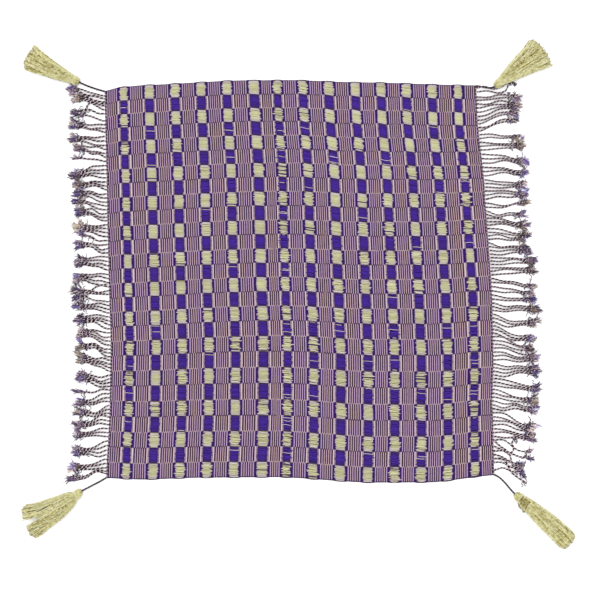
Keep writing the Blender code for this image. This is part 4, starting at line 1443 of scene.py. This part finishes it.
# How much paler than the others a tassel is, and how strongly its yarns are crimped.
PALER = {"top_left": 0.0, "top_right": 0.10, "bottom_left": 0.09, "bottom_right": 0.0}
CRIMPS = {"top_left": 0.8, "top_right": 0.9, "bottom_left": 1.2, "bottom_right": 0.45}
# Each row: yarns, lowest level, highest level, tone, how far the yarns stray sideways. The layers
# under the top two get darker tones, as painted shade inside the tassel.
LAYERS = (
    (30, 0.10, 0.45, 0.34, 0.05), (40, 1.00, 1.70, 0.24, 0.08), (46, 1.72, 1.95, 0.54, 0.12),
    (40, 1.88, 2.08, 0.72, 0.26),
)


def add_layer(threads, shape, yarns, low, high, tone, stray):
    """One layer of yarns from the head to the tips, side by side.

    A yarn's place across is a line that eases by s^1.5 to its end, plus a sine wave that grows
    with s and a crimp of 9 to 14 waves. In a parted tassel it keeps to its side of the notch."""
    across = np.linspace(-YARN_SPREAD, YARN_SPREAD, yarns) + chance.normal(0, 0.6 / yarns, yarns)
    across = np.clip(across, -0.99, 0.99)
    end_across = np.clip(across + chance.normal(0, stray, yarns), -1, 1)
    end = shape.end_share(end_across) * (1 + chance.normal(-0.004, 0.016, yarns))
    step = np.linspace(0, 1, YARN_RINGS)[None, :]
    share = YARN_START + (end[:, None] - YARN_START) * step
    wave_size = chance.normal(0, stray * 0.45, (yarns, 1))
    wave = wave_size * np.sin(np.pi * step * chance.uniform(1, 2.6, (yarns, 1)))
    path_across = across[:, None] + (end_across - across)[:, None] * step ** 1.5 + wave * step
    crimps = step * chance.uniform(9, 14, (yarns, 1)) + chance.random((yarns, 1))
    crimp = CRIMP * CRIMPS[shape.corner] * np.sin(2 * np.pi * crimps)
    crimp = crimp * chance.uniform(0.4, 1.3, (yarns, 1))
    path_across = path_across + crimp / shape.half_width(share) * np.minimum(4 * step, 1)
    path_across = np.clip(path_across, -1.04, 1.04)
    if shape.parting > PARTED:
        own_side = np.sign(across)[:, None]
        limit = NOTCH_SIDE * np.clip(5 * share - 3.2, -9, 1)
        path_across = own_side * np.maximum(own_side * path_across, limit)
    ripple = 0.05 * np.sin(2 * np.pi * (step * 4 + chance.random((yarns, 1))))
    level = chance.uniform(low, high, yarns)[:, None] + ripple
    half = chance.uniform(0.00044, 0.00074, yarns)[:, None] * (0.72 + 0.38 * step)
    half = half * np.where(step > 0.97, 0.6, 1.0)
    paths = shape.place(share, path_across, level)
    paths[..., 2] = np.maximum(paths[..., 2] - half * 0.5, half + YARN_CLEARANCE)
    # A layer's tone sets how dark its yarns are; the deep layers are darker, as painted shade.
    tones = tone + PALER[shape.corner] + chance.normal(0, 0.16, yarns)
    tones = np.clip(tones + 0.18 * np.abs(across) ** 4, 0.02, 1)
    swept = sweep(paths, half, half * YARN_FLATNESS, YARN_SIDES)
    threads.add(swept, arc(paths) / SKEIN_PITCH, tones)


print("yarns of a tassel:", sum(layer[0] for layer in LAYERS))

# %% [markdown]
# ## Fuzz and binding
#
# The outline of real yarn is never clean, because single fibres stand off it. A few hundred short
# hairs do this without making the tassel any bigger. The bottom right tassel also has a brown
# tangle of yarn about its neck, made of loose turns that each have a slant of their own.

# %% Fuzz, and the brown binding
FUZZ_HAIRS = 360
FUZZ_RINGS, FUZZ_SIDES = 3, 3
FUZZ_HALF_WIDTH, FUZZ_HALF_HEIGHT = 0.00022, 0.00020
FUZZ_LOWEST = 0.0006
BINDINGS = 20
BINDING_RINGS, BINDING_SIDES = 22, 4
BINDING_HALF = 0.00055
BINDING_LOWEST = 0.0009


def add_fuzz(threads, shape):
    """Short fine hairs that stand off the outline of a tassel, so that it ends softly."""
    at_end = chance.random(FUZZ_HAIRS) < 0.35
    side = np.where(chance.random(FUZZ_HAIRS) < 0.5, -1.0, 1.0)
    end_across = chance.uniform(-0.95, 0.95, FUZZ_HAIRS)
    across = np.where(at_end, end_across, side * chance.uniform(0.86, 0.98, FUZZ_HAIRS))
    if shape.parting > PARTED:
        across = np.sign(across) * np.maximum(np.abs(across), 0.15)
    ends = shape.end_share(across)
    share = np.where(at_end, ends * 0.985, chance.uniform(0.03, 0.97, FUZZ_HAIRS) * ends)
    root = shape.place(share, across, chance.uniform(0.4, 1.5, FUZZ_HAIRS))
    end_lean = side * chance.uniform(0, 0.5, FUZZ_HAIRS)
    side_lean = side * np.sign(side * across) * chance.uniform(0.25, 1.1, FUZZ_HAIRS)
    lean = np.where(at_end, end_lean, side_lean)
    ahead = shape.forward * np.cos(lean)[:, None] + shape.side * np.sin(lean)[:, None]
    long = chance.uniform(0.0012, 0.0036, FUZZ_HAIRS)[:, None]
    step = np.linspace(0, 1, FUZZ_RINGS)[None, :]
    plan = root[:, None, :2] + ahead[:, None] * (long * step)[..., None]
    plan = plan + shape.side * (chance.normal(0, 0.0008, (FUZZ_HAIRS, 1)) * step ** 2)[..., None]
    paths = raised(plan, np.maximum(root[:, 2:], FUZZ_LOWEST))
    slim = 1 - 0.5 * step
    swept = sweep(paths, FUZZ_HALF_WIDTH * slim, FUZZ_HALF_HEIGHT * slim, FUZZ_SIDES)
    threads.add(swept, 0.5, 0.55)


def add_binding(threads, shape):
    """Loose turns round a neck, each at its own slant, that bulge out on the tassel's right side."""
    turn = np.linspace(0, 2 * np.pi, BINDING_RINGS)[None, :]
    middle = chance.uniform(0.12, 0.23, (BINDINGS, 1))
    share = middle + chance.normal(0, 0.022, (BINDINGS, 1)) * np.cos(turn)
    share = share + 0.010 * np.sin(2 * turn + middle * 90)
    bulge = chance.uniform(1.0, 1.45, (BINDINGS, 1))
    across = np.where(np.cos(turn) < 0, bulge, 0.85) * np.cos(turn)
    level = np.clip(1.15 + 1.1 * np.sin(turn), 0.1, 2.15)
    paths = shape.place(share, across, level)
    paths[..., 2] = np.maximum(paths[..., 2], BINDING_LOWEST)
    tones = chance.uniform(0.0, 0.55, BINDINGS)
    ahead = (*shape.forward, 0.0)
    swept = sweep(paths, BINDING_HALF, BINDING_HALF, BINDING_SIDES, 0.0, ahead)
    threads.add(swept, arc(paths) / SKEIN_PITCH, tones)


print("hairs on a tassel:", FUZZ_HAIRS, "turns of the binding:", BINDINGS)

# %% The four tassels
DARK_TONE, PALE_TONE = 0.08, 0.75


def build_tassel(corner, dark_neck):
    """Core, four layers of yarns, fuzz, a binding on a dark neck, and windings, as one piece."""
    shape = Tassel(corner)
    threads = Threads()
    add_core(threads, shape)
    for layer in LAYERS:
        add_layer(threads, shape, *layer)
    add_fuzz(threads, shape)
    if dark_neck:
        add_binding(threads, shape)
    add_windings(threads, shape, DARK_TONE if dark_neck else PALE_TONE)
    piece = make_threads("yarn_" + corner, threads, skein.material, True)
    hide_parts("tassel_" + corner)
    return shape


shapes = {corner: build_tassel(corner, corner == "bottom_right") for corner in TASSELS}

# %% [markdown]
# ## The ties
#
# Each tassel hangs by a dark cord from its corner. A cord pulled straight would be a line, but these
# lie slack. A Hermite curve needs only where the cord starts and ends, and its heading at both.

# %% Build the ties
TIE_HEADINGS = {"top_left": 166.0, "top_right": -4.0, "bottom_left": 212.0, "bottom_right": -20.0}
TIE_RINGS, TIE_SIDES = 70, 8
TIE_HALF, TIE_PITCH = 0.00175, 0.0056
TIE_HEIGHT, TIE_RISE = 0.0019, 0.0009
TIE_INTO_HEAD = 0.001


def build_tie(corner, shape):
    """A cord on a Hermite curve: it leaves the corner at its heading and meets the head straight."""
    leave = heading_vector(TIE_HEADINGS[corner])
    start = CORNERS[corner] + SHIFT + leave * SEAM_GAP
    end = shape.head + shape.forward * TIE_INTO_HEAD
    pull = np.linalg.norm(end - start)
    s = np.linspace(0, 1, TIE_RINGS)[:, None]
    plan = start * (1 - s) ** 2 * (1 + 2 * s) + end * s * s * (3 - 2 * s)
    plan = plan + leave * pull * s * (1 - s) ** 2 - shape.forward * pull * s * s * (1 - s)
    path = np.column_stack([plan, TIE_HEIGHT + TIE_RISE * s[:, 0]])[None]
    tie = Threads()
    twisted(tie, path, TIE_HALF, TIE_PITCH, TIE_SIDES, 0.0)
    piece = make_threads("cord_" + corner, tie, tie_cord, True)
    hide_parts("tie_" + corner)
    print("  length in mm:", round(1000 * float(arc(path)[0, -1]), 1))


for corner, shape in shapes.items():
    build_tie(corner, shape)

# %% [markdown]
# ## The cloth
#
# The scarf is one cloth, 0.70 m by 0.68 m as it was woven, laid out on the floor. The floats, cords
# and fringes lie on it or leave its edges, so they go with it.

# %% [markdown]
# ## Floor, light and camera
#
# The photograph is a cut-out on white, so the floor is white and the light is even, with a soft
# sun from the upper left that brings out the ribs. The camera looks straight down from 3 m.

# %% Floor
FLOOR_HALF = 6.0
FLOOR_DROP = 0.0002
FLOOR_WHITE = (0.93, 0.93, 0.93, 1.0)

floor_mesh = bpy.data.meshes.new("floor")
floor_corners = [(x * FLOOR_HALF, y * FLOOR_HALF, 0) for x, y in ((-1, -1), (1, -1), (1, 1), (-1, 1))]
floor_mesh.from_pydata(floor_corners, [], [(0, 1, 2, 3)])
floor = bpy.data.objects.new("floor", floor_mesh)
bpy.context.scene.collection.objects.link(floor)
floor.location.z = -FLOOR_DROP
floor_paint = Finish("white floor", 0.9, 0.0)
floor_mesh.materials.append(floor_paint.paint(FLOOR_WHITE))
print("floor width in m:", 2 * FLOOR_HALF)

# %% Light
SKY_STRENGTH = 1.33
SUN_STRENGTH = 1.25
SUN_ANGLE = 1.2
SUN_TILT = (-30, -24)

world = bpy.data.worlds.new("studio")
bpy.context.scene.world = world
world.use_nodes = True
world.node_tree.nodes["Background"].inputs["Color"].default_value = (1, 1, 1, 1)
world.node_tree.nodes["Background"].inputs["Strength"].default_value = SKY_STRENGTH
sun_data = bpy.data.lights.new("soft sun", "SUN")
sun_data.energy = SUN_STRENGTH
sun_data.angle = SUN_ANGLE
sun = bpy.data.objects.new("soft sun", sun_data)
sun.rotation_euler = (np.radians(SUN_TILT[0]), np.radians(SUN_TILT[1]), 0)
bpy.context.scene.collection.objects.link(sun)
bpy.context.scene.view_settings.view_transform = "Standard"
print("sun strength:", SUN_STRENGTH, "sky strength:", SKY_STRENGTH)

# %% Camera
# The width in metres that the square photograph shows, and its middle on the cloth.
PHOTO_WIDTH = 1.062
CAMERA_HEIGHT = 3.0
SENSOR = 36
LOOK_AT = np.array([0.0, -0.0159]) + SHIFT

camera_data = bpy.data.cameras.new("camera")
camera_data.sensor_width = SENSOR
camera_data.lens = SENSOR * CAMERA_HEIGHT / PHOTO_WIDTH
camera = bpy.data.objects.new("camera", camera_data)
camera.location = (LOOK_AT[0], LOOK_AT[1], CAMERA_HEIGHT)
bpy.context.scene.collection.objects.link(camera)
bpy.context.scene.camera = camera
print("camera lens in mm:", round(camera_data.lens, 1))
